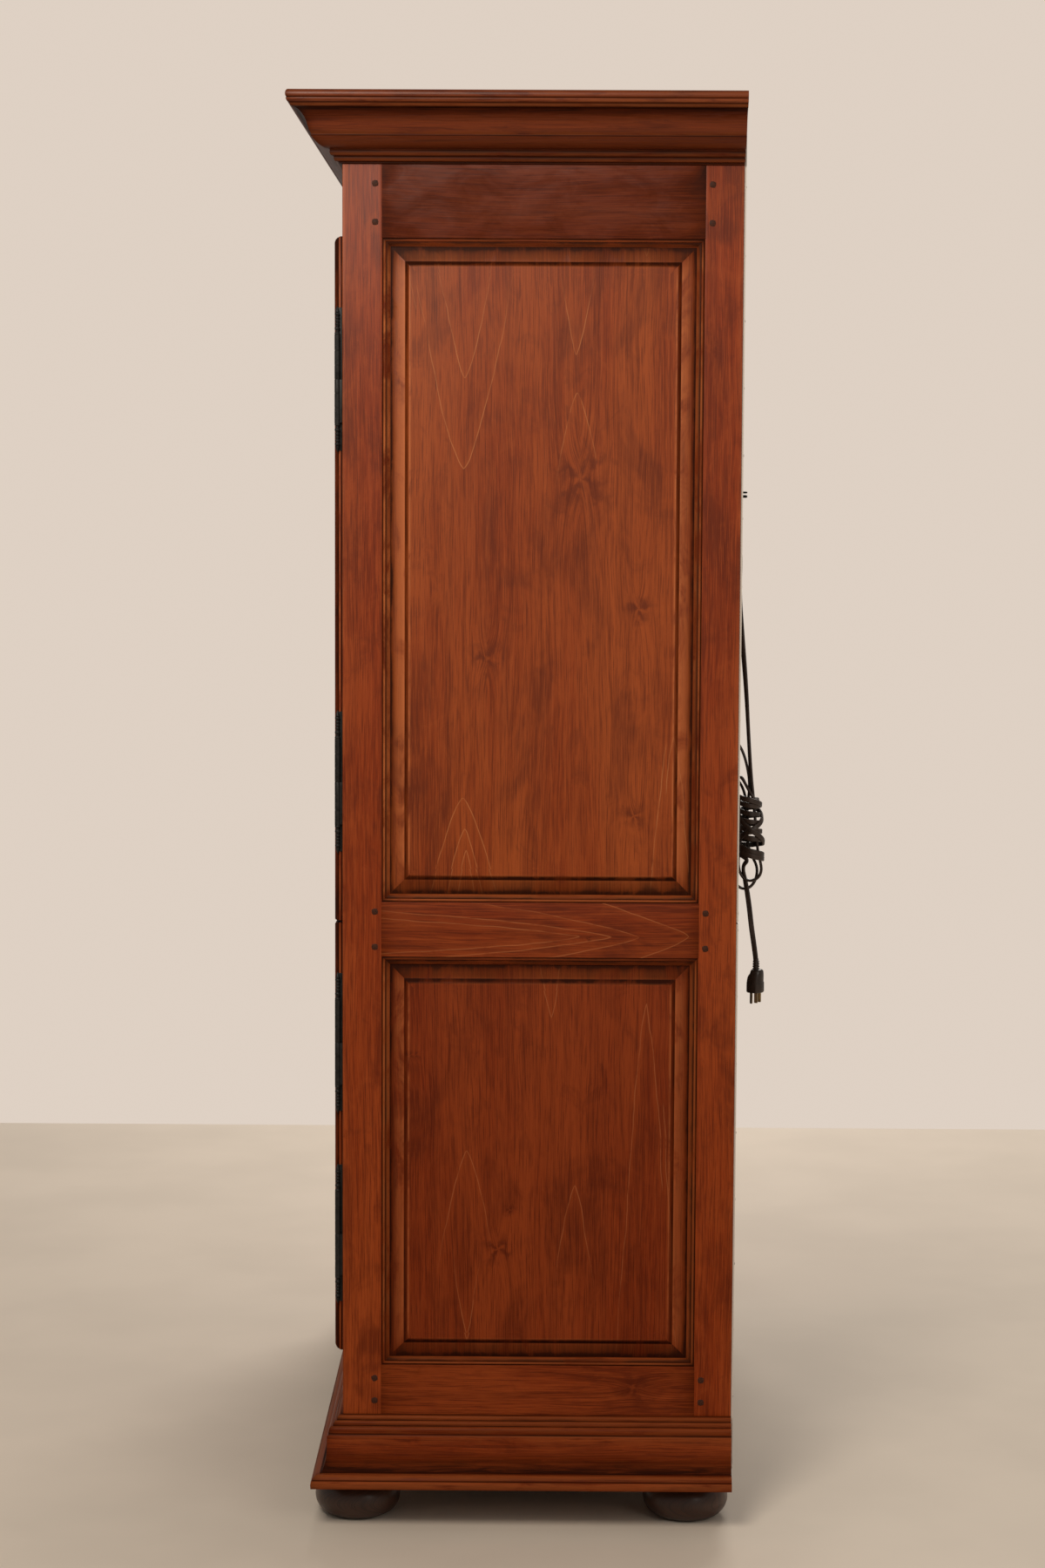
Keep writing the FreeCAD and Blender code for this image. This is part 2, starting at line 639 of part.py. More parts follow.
BEHIND = "%s + frame_thick" % FRONT
BOARD_DEEP = "carcass_depth - frame_thick"
piece("top_board", [box("top_board_plank", (
    "-%s" % INNER, BEHIND, "%s - board_thick" % CARCASS_TOP),
    (RAIL_LONG, BOARD_DEEP, "board_thick"))])
piece("tv_shelf", [box("tv_shelf_plank", (
    "-%s" % INNER, BEHIND, "%s - tv_shelf_thick" % UPPER_FLOOR),
    (RAIL_LONG, BOARD_DEEP, "tv_shelf_thick"))])
piece("floor_board", [box("floor_board_plank", (
    "-%s" % INNER, BEHIND, "%s - board_thick" % FLOOR),
    (RAIL_LONG, BOARD_DEEP, "board_thick"))])
for tier, z in SHELVES.items():
    piece("%s_adjustable_shelf" % tier, [box("%s_shelf_plank" % tier, (
        "-%s + shelf_side_clear" % INNER, "%s + shelf_front_set" % FRONT, z), (
        "%s - 2 * shelf_side_clear" % RAIL_LONG,
        "carcass_depth - shelf_front_set - %s" % SHELF_BACK, "board_thick"))])

# flat frame under the carcass, between it and the feet
base_boards = []
for name, y in (("front", FRONT), ("back", "%s - base_frame_wide" % REAR)):
    base_boards.append(box("base_frame_%s" % name, ("-%s" % HALF, y, "foot_height"), (
        "carcass_width", "base_frame_wide", "base_frame_thick")))
for name, x in (("right", "%s - base_frame_wide" % HALF), ("left", "-%s" % HALF)):
    base_boards.append(box("base_frame_%s" % name, (
        x, "%s + base_frame_wide" % FRONT, "foot_height"), (
        "base_frame_wide", "carcass_depth - 2 * base_frame_wide", "base_frame_thick")))
piece("base_frame", base_boards)

# backs, each with a hole for signal cables, the upper one also with the cord's hole
CORD_X = "(-cord_side)"
upper_back = box("upper_back_sheet", ("-%s + back_margin" % HALF, REAR, SPLIT), (
    "carcass_width - 2 * back_margin", "back_thick", "%s - %s - back_margin" % (CARCASS_TOP, SPLIT)))
lower_back = box("lower_back_sheet", (
    "-%s + back_margin" % HALF, REAR, "%s + back_margin" % CARCASS_BOTTOM), (
    "carcass_width - 2 * back_margin", "back_thick",
    "%s - %s - 2 * back_margin" % (SPLIT, CARCASS_BOTTOM)))
upper_hole = rod("upper_cable_hole", ("cable_hole_side", "%s - 5" % REAR,
                                      "%s + upper_cable_rise" % UPPER_FLOOR),
                 "cable_hole_radius", "back_thick + 10", "y")
lower_hole = rod("lower_cable_hole", ("cable_hole_side", "%s - 5" % REAR,
                                      "%s + low_cable_rise" % FLOOR),
                 "cable_hole_radius", "back_thick + 10", "y")
cord_hole = rod("cord_hole", (CORD_X, "%s - 5" % REAR, "bushing_height"),
                "bushing_radius", "back_thick + 10", "y")
piece("upper_back_panel", [cut("upper_back_cut", upper_back, [upper_hole, cord_hole])])
piece("lower_back_panel", [cut("lower_back_cut", lower_back, [lower_hole])])

# ---------------------------------------------------------------- doors

door_hands = []


def door(tier, low, high):
    """One right-hand door: frame of two stiles and two rails with a lip and rounded
    front edge, panel, panel moulding, hinge halves, knob and strike."""
    right = "upper_right_door" if tier == "upper" else "lower_right_door"
    wide = "(%s - meet_gap / 2)" % DOOR_EDGE
    tall = "(%s - %s + 2 * lip_overlap)" % (high, low)
    bottom = "(%s - lip_overlap)" % low
    left_x = "meet_gap / 2"

    blank = new_body(right + "_blank")
    lip = sketch(blank, right + "_lip", "XZ_Plane", ("0", "0"), [
        (wide, "0"), (wide, tall), ("0", tall), ("0", "0")])
    slab = pad(blank, right + "_slab", lip, "lip_thick", backward=True)
    doc.recompute()
    front_edges = []
    for number, edge in enumerate(slab.Shape.Edges, 1):
        if edge.BoundBox.YMax < 1e-6:
            front_edges.append("Edge%d" % number)
    if len(front_edges) != 4:
        raise RuntimeError("%s has %d front edges" % (right, len(front_edges)))
    rounded = blank.newObject("PartDesign::Fillet", right + "_rounded")
    rounded.Base = (slab, front_edges)
    bind(rounded, Radius="edge_round")
    doc.recompute()
    inner = sketch(blank, right + "_inner", "XZ_Plane", ("0", "lip_overlap + rabbet_clear"), [
        ("%s - %s - rabbet_clear" % (INNER, left_x), "lip_overlap + rabbet_clear"),
        ("%s - %s - rabbet_clear" % (INNER, left_x), "%s - lip_overlap - rabbet_clear" % tall),
        ("0", "%s - lip_overlap - rabbet_clear" % tall),
        ("0", "lip_overlap + rabbet_clear")])
    inner.setExpression("AttachmentOffset.Base.z", ex("-lip_thick + 0.5"))
    pad(blank, right + "_tongue", inner, "door_thick - lip_thick + 0.5", backward=True)
    place(blank, left_x, DOOR_FRONT, bottom)

    open_wide = "(%s - 2 * door_stile)" % wide
    open_tall = "(%s - 2 * door_rail)" % tall
    at = ("%s + door_stile" % left_x, DOOR_FRONT, "%s + door_rail" % bottom)
    room = groove(right + "_groove", open_wide, open_tall, (
        "%s + door_stile - groove_deep - tongue_clear" % left_x,
        "%s + %s - tongue_clear" % (DOOR_FRONT, PANEL_SET),
        "%s + door_rail - groove_deep - tongue_clear" % bottom), AHEAD)
    rooms = [leaf_room("%s_leaf_room_%d" % (right, number), z, True)
             for number, z in enumerate(HINGE_HEIGHTS[tier])]
    knob_z = "(%s + upper_knob_rise)" % bottom
    if tier == "lower":
        knob_z = "(%s + %s - low_knob_drop)" % (bottom, tall)
    knob_x = "(%s + door_stile / 2)" % left_x
    stud_room = rod(right + "_stud_room", (knob_x, "%s - 1" % DOOR_FRONT, knob_z),
                    "stud_radius + stud_clear", "stud_reach + 1 + stud_clear", "y")

    members = []
    deep = "door_thick + 2"
    for name, x, z, w, t, tools in (
            ("hinge_stile", "%s - door_stile" % DOOR_EDGE, bottom, "door_stile", tall,
             [room] + rooms),
            ("meeting_stile", left_x, bottom, "door_stile", tall, [room, stud_room]),
            ("bottom_rail", "%s + door_stile" % left_x, bottom, open_wide, "door_rail", [room]),
            ("top_rail", "%s + door_stile" % left_x,
             "%s + %s - door_rail" % (bottom, tall), open_wide, "door_rail", [room])):
        bounds = box("%s_%s_bounds" % (right, name), (x, "%s - 1" % DOOR_FRONT, z), (w, deep, t))
        shaped = common("%s_%s_shaped" % (right, name), blank, bounds)
        members.append(cut("%s_%s" % (right, name), shaped, tools))
    frame = piece(right + "_frame", members)
    panel = piece(right + "_panel", [
        raised_panel(right + "_panel", open_wide, open_tall, at, AHEAD)])
    moulding = piece(right + "_moulding", [
        panel_moulding(right + "_moulding_run", open_wide, open_tall, at, AHEAD)])
    halves = piece(right + "_hinge_halves", [
        upper_knuckle("%s_knuckle_%d" % (right, number), z)
        for number, z in enumerate(HINGE_HEIGHTS[tier])])

    knob = new_body(right + "_knob_turned")
    profile = sketch(knob, right + "_knob_profile", "XZ_Plane", ("0", "-stud_reach"), [
        ("stud_radius", "-stud_reach"), ("stud_radius", "0"),
        ("knob_radius * 0.72", "0"),
        ("knob_radius * 0.70", "knob_long * 0.09", "knob_radius * 0.46", "knob_long * 0.14"),
        ("knob_radius * 0.33", "knob_long * 0.34", "knob_radius * 0.46", "knob_long * 0.52"),
        ("knob_radius", "knob_long * 0.72", "knob_radius * 0.52", "knob_long * 0.96"),
        ("0", "knob_long"), ("0", "-stud_reach")])
    turn(knob, right + "_knob_revolved", profile)
    knob.Placement = FreeCAD.Placement(V(), FreeCAD.Rotation(V(1, 0, 0), 90))
    place(knob, knob_x, DOOR_FRONT, knob_z)
    strike = box(right + "_strike", (
        "catch_apart", DOOR_BACK, "%s - catch_high" % high), (
        "catch_wide", "strike_thick", "catch_high - rabbet_clear * 2"))
    fittings = piece(right + "_knob_and_strike", [knob, strike])

    left = right.replace("right", "left")
    for name, item in (("frame", frame), ("panel", panel), ("moulding", moulding),
                       ("hinge_halves", halves), ("knob_and_strike", fittings)):
        other_hand("%s_%s" % (left, name), item)


door("upper", UPPER_FLOOR, UPPER_TOP)
door("lower", FLOOR, LOWER_TOP)

knuckles = [
    lower_knuckle("frame_knuckle_%s_%d" % (tier, number), z)
    for tier, heights in HINGE_HEIGHTS.items() for number, z in enumerate(heights)]
knuckles_right = together("frame_knuckles_right", knuckles)
piece("hinge_frame_halves", [
    knuckles_right, other_hand("frame_knuckles_left", knuckles_right, False)])

catches = []
for tier, top in (("upper", UPPER_TOP), ("lower", LOWER_TOP)):
    catches.append(box("catch_%s" % tier, (
        "catch_apart", "%s + strike_thick + strike_clear" % DOOR_BACK, "%s - catch_high" % top),
        ("catch_wide", "catch_deep", "catch_high")))
catches_right = together("catches_right", catches)
piece("door_catches", [catches_right, other_hand("catches_left", catches_right, False)])

# ---------------------------------------------------------------- cornice and base

def cornice_point(out, down):
    return ("cornice_out * %.4f" % out, "-cornice_height * %.4f" % down)


def cornice_path():
    """Section from the top down: nosed top edge with two fine lines, small step, deep
    cove, fine line, ovolo with a dark underside, two beads."""
    steps = [
        (0.960, 0.000), (0.999, 0.046, 0.993, 0.098), (0.972, 0.110), (0.987, 0.122),
        (0.983, 0.150, 0.955, 0.172), (0.936, 0.182), (0.926, 0.196),
        (0.910, 0.220, 0.866, 0.236), (0.835, 0.240),
        (0.698, 0.335, 0.616, 0.478), (0.592, 0.546), (0.550, 0.603), (0.556, 0.622),
        (0.440, 0.726, 0.228, 0.794), (0.219, 0.812),
        (0.226, 0.850, 0.186, 0.884), (0.146, 0.898), (0.152, 0.934, 0.108, 0.961),
        (0.060, 0.971), (0.060, 0.984), (0.000, 1.000),
    ]
    path = []
    for step in steps:
        point = []
        for out, down in zip(step[0::2], step[1::2]):
            point.extend(cornice_point(out, down))
        path.append(tuple(point))
    return path


def base_point(out, up):
    return ("base_out * %.4f" % out, "base_height * %.4f" % up)


def base_path():
    """Section from the floor up: stepped foot moulding, leaning board, bead and cove."""
    steps = [
        (0.990, 0.000), (1.000, 0.050, 0.978, 0.112), (0.935, 0.118),
        (0.939, 0.134), (0.880, 0.170, 0.752, 0.190), (0.713, 0.192), (0.705, 0.208),
        (0.640, 0.218), (0.528, 0.384, 0.489, 0.563), (0.489, 0.720), (0.462, 0.730),
        (0.438, 0.752), (0.444, 0.769), (0.422, 0.816, 0.330, 0.852), (0.296, 0.860),
        (0.291, 0.874), (0.270, 0.903, 0.204, 0.921), (0.183, 0.928), (0.178, 0.944),
        (0.161, 0.973, 0.113, 0.990), (0.020, 1.000), (0.000, 1.000),
    ]
    path = []
    for step in steps:
        point = []
        for out, up in zip(step[0::2], step[1::2]):
            point.extend(base_point(out, up))
        path.append(tuple(point))
    return path


def shift_path(path, sign, start):
    """The section's outward distance counted from a start, in one or other direction."""
    moved = []
    for step in path:
        point = []
        for u, v in zip(step[0::2], step[1::2]):
            point.append("%s%s %s" % (start, sign, u) if start else "%s%s" % (sign, u))
            point.append(v)
        moved.append(tuple(point))
    return moved


def wrap(name, out, first, path, close, z):
    """A moulding across the front and back along both sides, mitred at the corners."""
    front = new_body("front_" + name + "_run")
    profile = sketch(front, "front_%s_section" % name, "YZ_Plane",
                     shift_path([first], "-", "")[0],
                     shift_path(path, "-", "") + shift_path(close, "-", ""))
    pad(front, "front_%s_pad" % name, profile, "carcass_width + 2 * %s" % out, middle=True)
    for side, sign in (("right", ""), ("left", "-")):
        corner = sketch(front, "front_%s_%s_mitre" % (name, side), "XY_Plane",
                        ("%s(%s - 5)" % (sign, HALF), "5"), [
            ("%s(%s + %s + 5)" % (sign, HALF, out), "-(%s + 5)" % out),
            ("%s(%s + %s + 5)" % (sign, HALF, out), "5"),
            ("%s(%s - 5)" % (sign, HALF), "5")])
        trim(front, "front_%s_%s_trim" % (name, side), corner)
    place(front, "0", FRONT, z)
    piece("front_" + name, [front])

    side = new_body("right_" + name + "_run")
    profile = sketch(side, "right_%s_section" % name, "XZ_Plane",
                     shift_path([first], "+", HALF)[0],
                     shift_path(path, "+", HALF) + shift_path(close, "+", HALF))
    pad(side, "right_%s_pad" % name, profile, "carcass_depth + %s" % out, backward=True)
    corner = sketch(side, "right_%s_mitre" % name, "XY_Plane",
                    ("%s - 5" % HALF, "%s + 5" % out), [
        ("%s - 5" % HALF, "-5"), ("%s + %s + 5" % (HALF, out), "-5"),
        ("%s - 5" % HALF, "%s + 5" % out)])
    trim(side, "right_%s_trim" % name, corner)
    place(side, "0", "%s - %s" % (FRONT, out), z)
    right = piece("right_" + name, [side])
    other_hand("left_" + name, right)


wrap("cornice", "cornice_out", ("0", "0"), cornice_path(), [("0", "0")], TOTAL)
wrap("base_moulding", "base_out", ("0", "0"), base_path(), [("0", "0")], "foot_height")

feet = []
for name, y in (("front", "%s - base_out + foot_radius" % FRONT),
                ("back", "%s - foot_radius" % REAR)):
    foot = new_body("foot_" + name)
    profile = sketch(foot, "foot_%s_profile" % name, "XZ_Plane", ("0", "0"), [
        ("foot_radius * 0.58", "0"), ("foot_radius * 0.60", "foot_height * 0.02"),
        ("foot_radius * 0.885", "foot_height * 0.148", "foot_radius", "foot_height * 0.42"),
        ("foot_radius * 0.919", "foot_height * 0.69", "foot_radius * 0.70", "foot_height * 0.88"),
        ("foot_radius * 0.74", "foot_height * 0.90"), ("foot_radius * 0.74", "foot_height"),
        ("0", "foot_height"), ("0", "0")])
    turn(foot, "foot_%s_turned" % name, profile)
    place(foot, "%s - foot_radius" % HALF, y, "0")
    feet.append(foot)
feet_right = together("feet_right", feet)
piece("bun_feet", [feet_right, other_hand("feet_left", feet_right, False)])

# ---------------------------------------------------------------- power fittings

piece("outlet_strip", [box("outlet_strip_case", (
    "%s - strip_long / 2" % CORD_X, "%s - strip_deep" % REAR, "bushing_height - strip_high / 2"),
    ("strip_long", "strip_deep", "strip_high"))])

flange = rod("bushing_flange_disc", (CORD_X, BACK_FACE, "bushing_height"),
             "bushing_flange", "bushing_proud", "y")
neck = rod("bushing_neck", (CORD_X, REAR, "bushing_height"),
           "bushing_radius - peg_clear", "back_thick", "y")
piece("cord_bushing", [fuse("cord_bushing_solid", [flange, neck])])

HOOK = "(bushing_height + hook_rise)"
hook_plate = box("hook_plate", ("%s - 10" % CORD_X, BACK_FACE, "%s - 18" % HOOK),
                 ("20", "3", "36"))
hook_lower = rod("hook_lower", (CORD_X, BACK_FACE, "%s - 3.2" % HOOK),
                 "2.4", "hook_reach", "y")
hook_upper = rod("hook_upper", (CORD_X, BACK_FACE, "%s + 3.4" % HOOK),
                 "1.7", "hook_reach", "y")
piece("cord_hook", [fuse("cord_hook_solid", [hook_plate, hook_lower, hook_upper])])

# The cord's route: left or right of the middle, distance behind the face frame's front,
# height. These places are for a bushing at ROUTE_SIDE and ROUTE_HEIGHT and move with it.
ROUTE_SIDE = -20
ROUTE_HEIGHT = 1490
OVER_ROUTE = "(bushing_height - %g)" % ROUTE_HEIGHT
DROP = [
    (-20, 592, 1490), (-20, 606.3, 1490), (-19.6, 618.7, 1482.8), (-19, 625.6, 1470.4),
    (-18, 626.2, 1444), (-17, 624.8, 1396), (-18.5, 632.2, 1322), (-21, 641.2, 1232),
    (-21.5, 647.0, 1146), (-19, 649.2, 1068),
]
TAIL = [
    (-20, 649.6, 899), (-21, 652.4, 870), (-21.4, 656.6, 838), (-20.6, 660.4, 808),
    (-20, 662.8, 778),
]
HANK = [
    # height, distance behind the front, half width across the view, half depth
    (1068, 648, 7, 7), (1050, 642, 17, 17), (1024, 637, 26, 27), (988, 636, 30, 37),
    (968, 645, 27, 29), (944, 652, 22, 21), (918, 650, 20, 18), (899, 650, 10, 9),
]


def cord_tube(label, route):
    """A round tube of the cord's width: straight runs joined by tangent arcs."""
    start = V(num(CORD_X) - ROUTE_SIDE, num(FRONT), num(OVER_ROUTE))
    points = [start + V(x, y, z) for x, y, z in route]
    edges = []
    here = points[0]
    radii = []
    for before, corner, after in zip(points, points[1:], points[2:]):
        back = before - corner
        ahead = after - corner
        shorter = min(back.Length, ahead.Length)
        half = (math.pi - back.getAngle(ahead)) / 2
        reach = 0.45 * shorter
        radii.append(reach / math.tan(half))
        back.normalize()
        ahead.normalize()
        start = corner + back * reach
        end = corner + ahead * reach
        inward = back + ahead
        inward.normalize()
        depth = radii[-1] / math.cos(half) - radii[-1]
        edges.append(Part.LineSegment(here, start).toShape())
        edges.append(Part.Arc(start, corner + inward * depth, end).toShape())
        here = end
    edges.append(Part.LineSegment(here, points[-1]).toShape())
    spine = Part.Wire(edges)
    radius = num("cord_radius")
    ring = Part.Wire([Part.makeCircle(radius, points[0], points[1] - points[0])])
    shape = spine.makePipeShell([ring], True, True)
    item = doc.addObject("Part::Feature", label)
    item.Shape = shape
    item.Label = label
    PIECES.append(item)
    wanted = math.pi * radius ** 2 * spine.Length
    print("%s: length %.1f mm, radii %s, volume %.0f of %.0f" % (
        label, spine.Length, " ".join("%.0f" % r for r in radii), shape.Volume, wanted))
    if abs(shape.Volume - wanted) > 0.02 * wanted:
        raise RuntimeError("%s has the wrong volume" % label)


cord_tube("cord_drop", DROP)

rings = []
for number, (z, y, across, deep) in enumerate(HANK):
    ring = doc.addObject("Part::Ellipse", "hank_ring_%d" % number)
    ring.MajorRadius = max(across, deep)
    ring.MinorRadius = min(across, deep)
    spin = 90 if deep > across else 0
    ring.Placement = FreeCAD.Placement(V(), FreeCAD.Rotation(V(0, 0, 1), spin))
    place(ring, CORD_X, "%s + %g" % (FRONT, y), "%s + %g" % (OVER_ROUTE, z))
    rings.append(ring)
hank = doc.addObject("Part::Loft", "hank_loft")
hank.Sections = rings
hank.Solid = True
hank.Ruled = True
piece("cord_hank", [hank])

cord_tube("cord_tail", TAIL)

# plug: ribbed strain relief, body that widens, two blades and a round earth pin
PLUG_Y = 663.0
PLUG_TOP = "(%s + %g)" % (OVER_ROUTE, TAIL[-1][2])
PLUG_SHOULDER = "(%s - relief_long)" % PLUG_TOP
PLUG_FACE = "(%s - plug_long)" % PLUG_SHOULDER
PLUG_SIDE = "(%s - plug_wide / 2)" % CORD_X
relief = doc.addObject("Part::Cone", "plug_relief")
relief.Radius1 = 6.5
relief.Radius2 = 5.0
bind(relief, Height="relief_long")
place(relief, CORD_X, "%s + %g" % (FRONT, PLUG_Y), PLUG_SHOULDER)
body = doc.addObject("Part::Wedge", "plug_body")
bind(body, Xmin="0", Xmax="plug_wide", Zmin="0", Zmax="plug_deep", Ymin="0",
     Ymax="plug_long / 2", X2min="0", X2max="plug_wide", Z2min="0", Z2max="plug_deep")
body.Placement = FreeCAD.Placement(V(), FreeCAD.Rotation(V(1, 0, 0), 90))
place(body, PLUG_SIDE, "%s + %g + plug_deep / 2" % (FRONT, PLUG_Y), PLUG_FACE)
shoulder = doc.addObject("Part::Wedge", "plug_shoulder")
bind(shoulder, Xmin="plug_wide / 2 - 7", Xmax="plug_wide / 2 + 7", Zmin="plug_deep / 2 - 7",
     Zmax="plug_deep / 2 + 7", Ymin="0", Ymax="plug_long / 2", X2min="0", X2max="plug_wide",
     Z2min="0", Z2max="plug_deep")
shoulder.Placement = FreeCAD.Placement(V(), FreeCAD.Rotation(V(1, 0, 0), -90))
place(shoulder, PLUG_SIDE, "%s + %g - plug_deep / 2" % (FRONT, PLUG_Y), PLUG_SHOULDER)
piece("plug", [fuse("plug_solid", [relief, body, shoulder])])

blades = []
for name, sign in (("right", "+"), ("left", "-")):
    blade = doc.addObject("Part::Box", "blade_" + name)
    bind(blade, Length="1.5", Width="6.3", Height="blade_long")
    place(blade, "%s %s 6.35 - 0.75" % (CORD_X, sign), "%s + %g" % (FRONT, PLUG_Y + 2.6),
          "%s - blade_long" % PLUG_FACE)
    blades.append(blade)
earth = doc.addObject("Part::Cylinder", "earth_pin")
bind(earth, Radius="2.4", Height="earth_long")
place(earth, CORD_X, "%s + %g" % (FRONT, PLUG_Y - 6.0), "%s - earth_long" % PLUG_FACE)
piece("plug_blades", blades + [earth])

# left-hand side pieces
for label in ("side_lower_panel", "side_upper_panel", "side_panel_mouldings", "side_stiles",
              "side_rails"):
    source = [item for item in PIECES if item.Label == "right_" + label][0]
    other_hand("left_" + label, source)

# ---------------------------------------------------------------- checks and files

doc.recompute()
for item in doc.Objects:
    if "Invalid" in item.State or "Error" in item.State:
        raise RuntimeError("%s did not build: %s" % (item.Label, item.State))
names = set()
for item in PIECES:
    shape = item.Shape
    if shape.isNull() or not shape.isValid() or not shape.Solids:
        raise RuntimeError("%s has no valid solid" % item.Label)
    if item.Label in names or len(item.Label) > 59:
        raise RuntimeError("%s can't be a file name" % item.Label)
    names.add(item.Label)

os.makedirs("parts", exist_ok=True)
for item in PIECES:
    item.Shape.exportStep(os.path.join("parts", item.Label + ".step"))
    room = item.Shape.BoundBox
    print("%-34s %2d solids  x %7.1f %7.1f  y %7.1f %7.1f  z %7.1f %7.1f" % (
        item.Label, len(item.Shape.Solids), room.XMin, room.XMax, room.YMin, room.YMax,
        room.ZMin, room.ZMax))
print("%d pieces" % len(PIECES))
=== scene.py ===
import json
import math

import bmesh
import bpy
from mathutils import Matrix, Vector


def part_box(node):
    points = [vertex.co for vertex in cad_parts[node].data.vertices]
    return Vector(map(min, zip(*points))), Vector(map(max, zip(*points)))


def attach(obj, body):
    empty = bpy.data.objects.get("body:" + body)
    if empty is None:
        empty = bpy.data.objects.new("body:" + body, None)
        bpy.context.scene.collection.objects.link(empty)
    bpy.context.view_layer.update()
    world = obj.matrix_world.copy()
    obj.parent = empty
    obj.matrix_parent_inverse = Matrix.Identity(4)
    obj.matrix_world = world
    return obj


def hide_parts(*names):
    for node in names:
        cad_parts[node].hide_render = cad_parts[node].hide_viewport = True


bl_info = {
    "name": "Television Armoire Woodwork",
    "version": (1, 0, 0),
    "blender": (4, 5, 0),
    "location": "View3D > Sidebar > Armoire",
    "description": "Dresses the armoire's solids with joinery, glazed finishes, hinges and cord",
    "category": "Object",
}

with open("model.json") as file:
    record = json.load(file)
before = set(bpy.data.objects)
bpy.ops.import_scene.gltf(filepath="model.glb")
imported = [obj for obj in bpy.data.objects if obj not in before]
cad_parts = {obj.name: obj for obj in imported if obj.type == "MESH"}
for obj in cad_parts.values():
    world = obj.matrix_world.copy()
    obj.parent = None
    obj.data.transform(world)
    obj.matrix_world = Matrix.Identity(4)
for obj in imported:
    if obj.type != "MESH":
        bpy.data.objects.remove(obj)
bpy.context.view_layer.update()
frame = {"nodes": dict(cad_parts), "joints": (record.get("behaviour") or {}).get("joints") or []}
MM = 0.001

# ---------------------------------------------------------------- places of the solids

STILE_LOW, STILE_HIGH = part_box("right_side_stiles")
HALF, INNER = STILE_HIGH.x, STILE_LOW.x if STILE_LOW.x > 0 else STILE_HIGH.x - 22 * MM
FRONT, REAR = STILE_LOW.y, STILE_HIGH.y
CARCASS_BOTTOM, CARCASS_TOP = STILE_LOW.z, STILE_HIGH.z
RAIL_LOW, RAIL_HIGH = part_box("right_side_rails")
SIDE_FRONT, SIDE_BACK = RAIL_LOW.y, RAIL_HIGH.y
TONGUE = 8 * MM
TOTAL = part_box("front_cornice")[1].z
BASE_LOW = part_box("front_base_moulding")[0]
BACK_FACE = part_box("upper_back_panel")[1].y
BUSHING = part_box("cord_bushing")
CORD_EXIT = (sum(corner.x for corner in BUSHING) / 2, BUSHING[1].y,
             sum(corner.z for corner in BUSHING) / 2)
UPPER_OPEN, LOWER_OPEN = (
    (low.z + TONGUE, high.z - TONGUE)
    for low, high in (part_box(f"right_side_{level}_panel") for level in ("upper", "lower")))
FOOT_RADIUS = 65 * MM
PEG_HEIGHTS = tuple(z * MM for z in (192.8, 227.2, 884.5, 937.5, 1953.1, 2008.7))
HINGE = Vector([abs(frame["joints"][0]["pos_m"][0]), *frame["joints"][0]["pos_m"][1:]])
HINGE_LEVELS = {"upper": (1.131, 1.725), "lower": (0.448, 0.739)}
KNOB_LEVELS = {"upper": 1.185, "lower": 0.714}
STRIKE_LEVELS = {"upper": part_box("door_catches")[1].z, "lower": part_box("middle_rail")[0].z}
PEG_REACH = 4.7 * MM  # from a peg's middle to its edge
BACK_BOARDS = ("upper_back_panel", "lower_back_panel")
PRONGS = ((1558.8 * MM, 2.4), (1565.4 * MM, 1.7))  # height, radius in mm
# figure of the right side, in metres: run along the grain, place across it, size
RAIL_STARTS = (12.6, 18.5, 24.4)
RAIL_KNOTS = ((RAIL_STARTS[0] + 0.158, 0.048, 0.019), (RAIL_STARTS[1] + 0.087, -0.012, 0.003))
RAIL_ARCHES = tuple((RAIL_STARTS[1] + y, -0.0095, -way, half) for y, way, half in (
    (0.236, 9.0, 0.044), (0.162, 6.0, 0.037), (0.120, 5.0, 0.026), (0.073, 5.0, 0.020)))
STILE_ARCHES = ((0.9, -0.245, 4.0, 0.020), (1.75, -0.235, -3.0, 0.024),
                (1.3, 0.262, -3.5, 0.018), (0.35, 0.255, 4.0, 0.020))
UPPER_KNOTS = ((1.582, 0.070, 0.031), (1.390, 0.158, 0.015), (1.0825, 0.153, 0.012),
               (1.316, -0.066, 0.018))
UPPER_ARCHES = (
    (1.7276, -0.1003, 14.0, 0.022), (1.595, -0.1021, 9.0, 0.036), (1.7616, 0.0647, 22.0, 0.012),
    (1.7065, 0.0651, -22.0, 0.015), (1.1084, -0.1006, -14.0, 0.030),
    (1.062, -0.0985, -16.0, 0.020), (1.030, -0.0960, -18.0, 0.012),
    (1.98, -0.155, 2.2, 0.040), (1.20, 0.205, -4.0, 0.030), (1.90, 0.165, 6.0, 0.030))
LOWER_KNOTS = ((0.4264, -0.0459, 0.016), (0.4865, -0.0292, 0.006), (0.7202, -0.1724, 0.007))
LOWER_ARCHES = (
    (0.5765, -0.0937, -16.0, 0.020), (0.5244, 0.0682, -18.0, 0.014), (0.2949, -0.0927, 22.0, 0.010),
    (0.78, 0.03, 5.0, 0.034), (0.80, 0.175, -4.0, 0.024))


def tenths(*points):
    """Places given in tenths of a millimetre, in metres."""
    return [tuple(value / 10000 for value in point) for point in points]


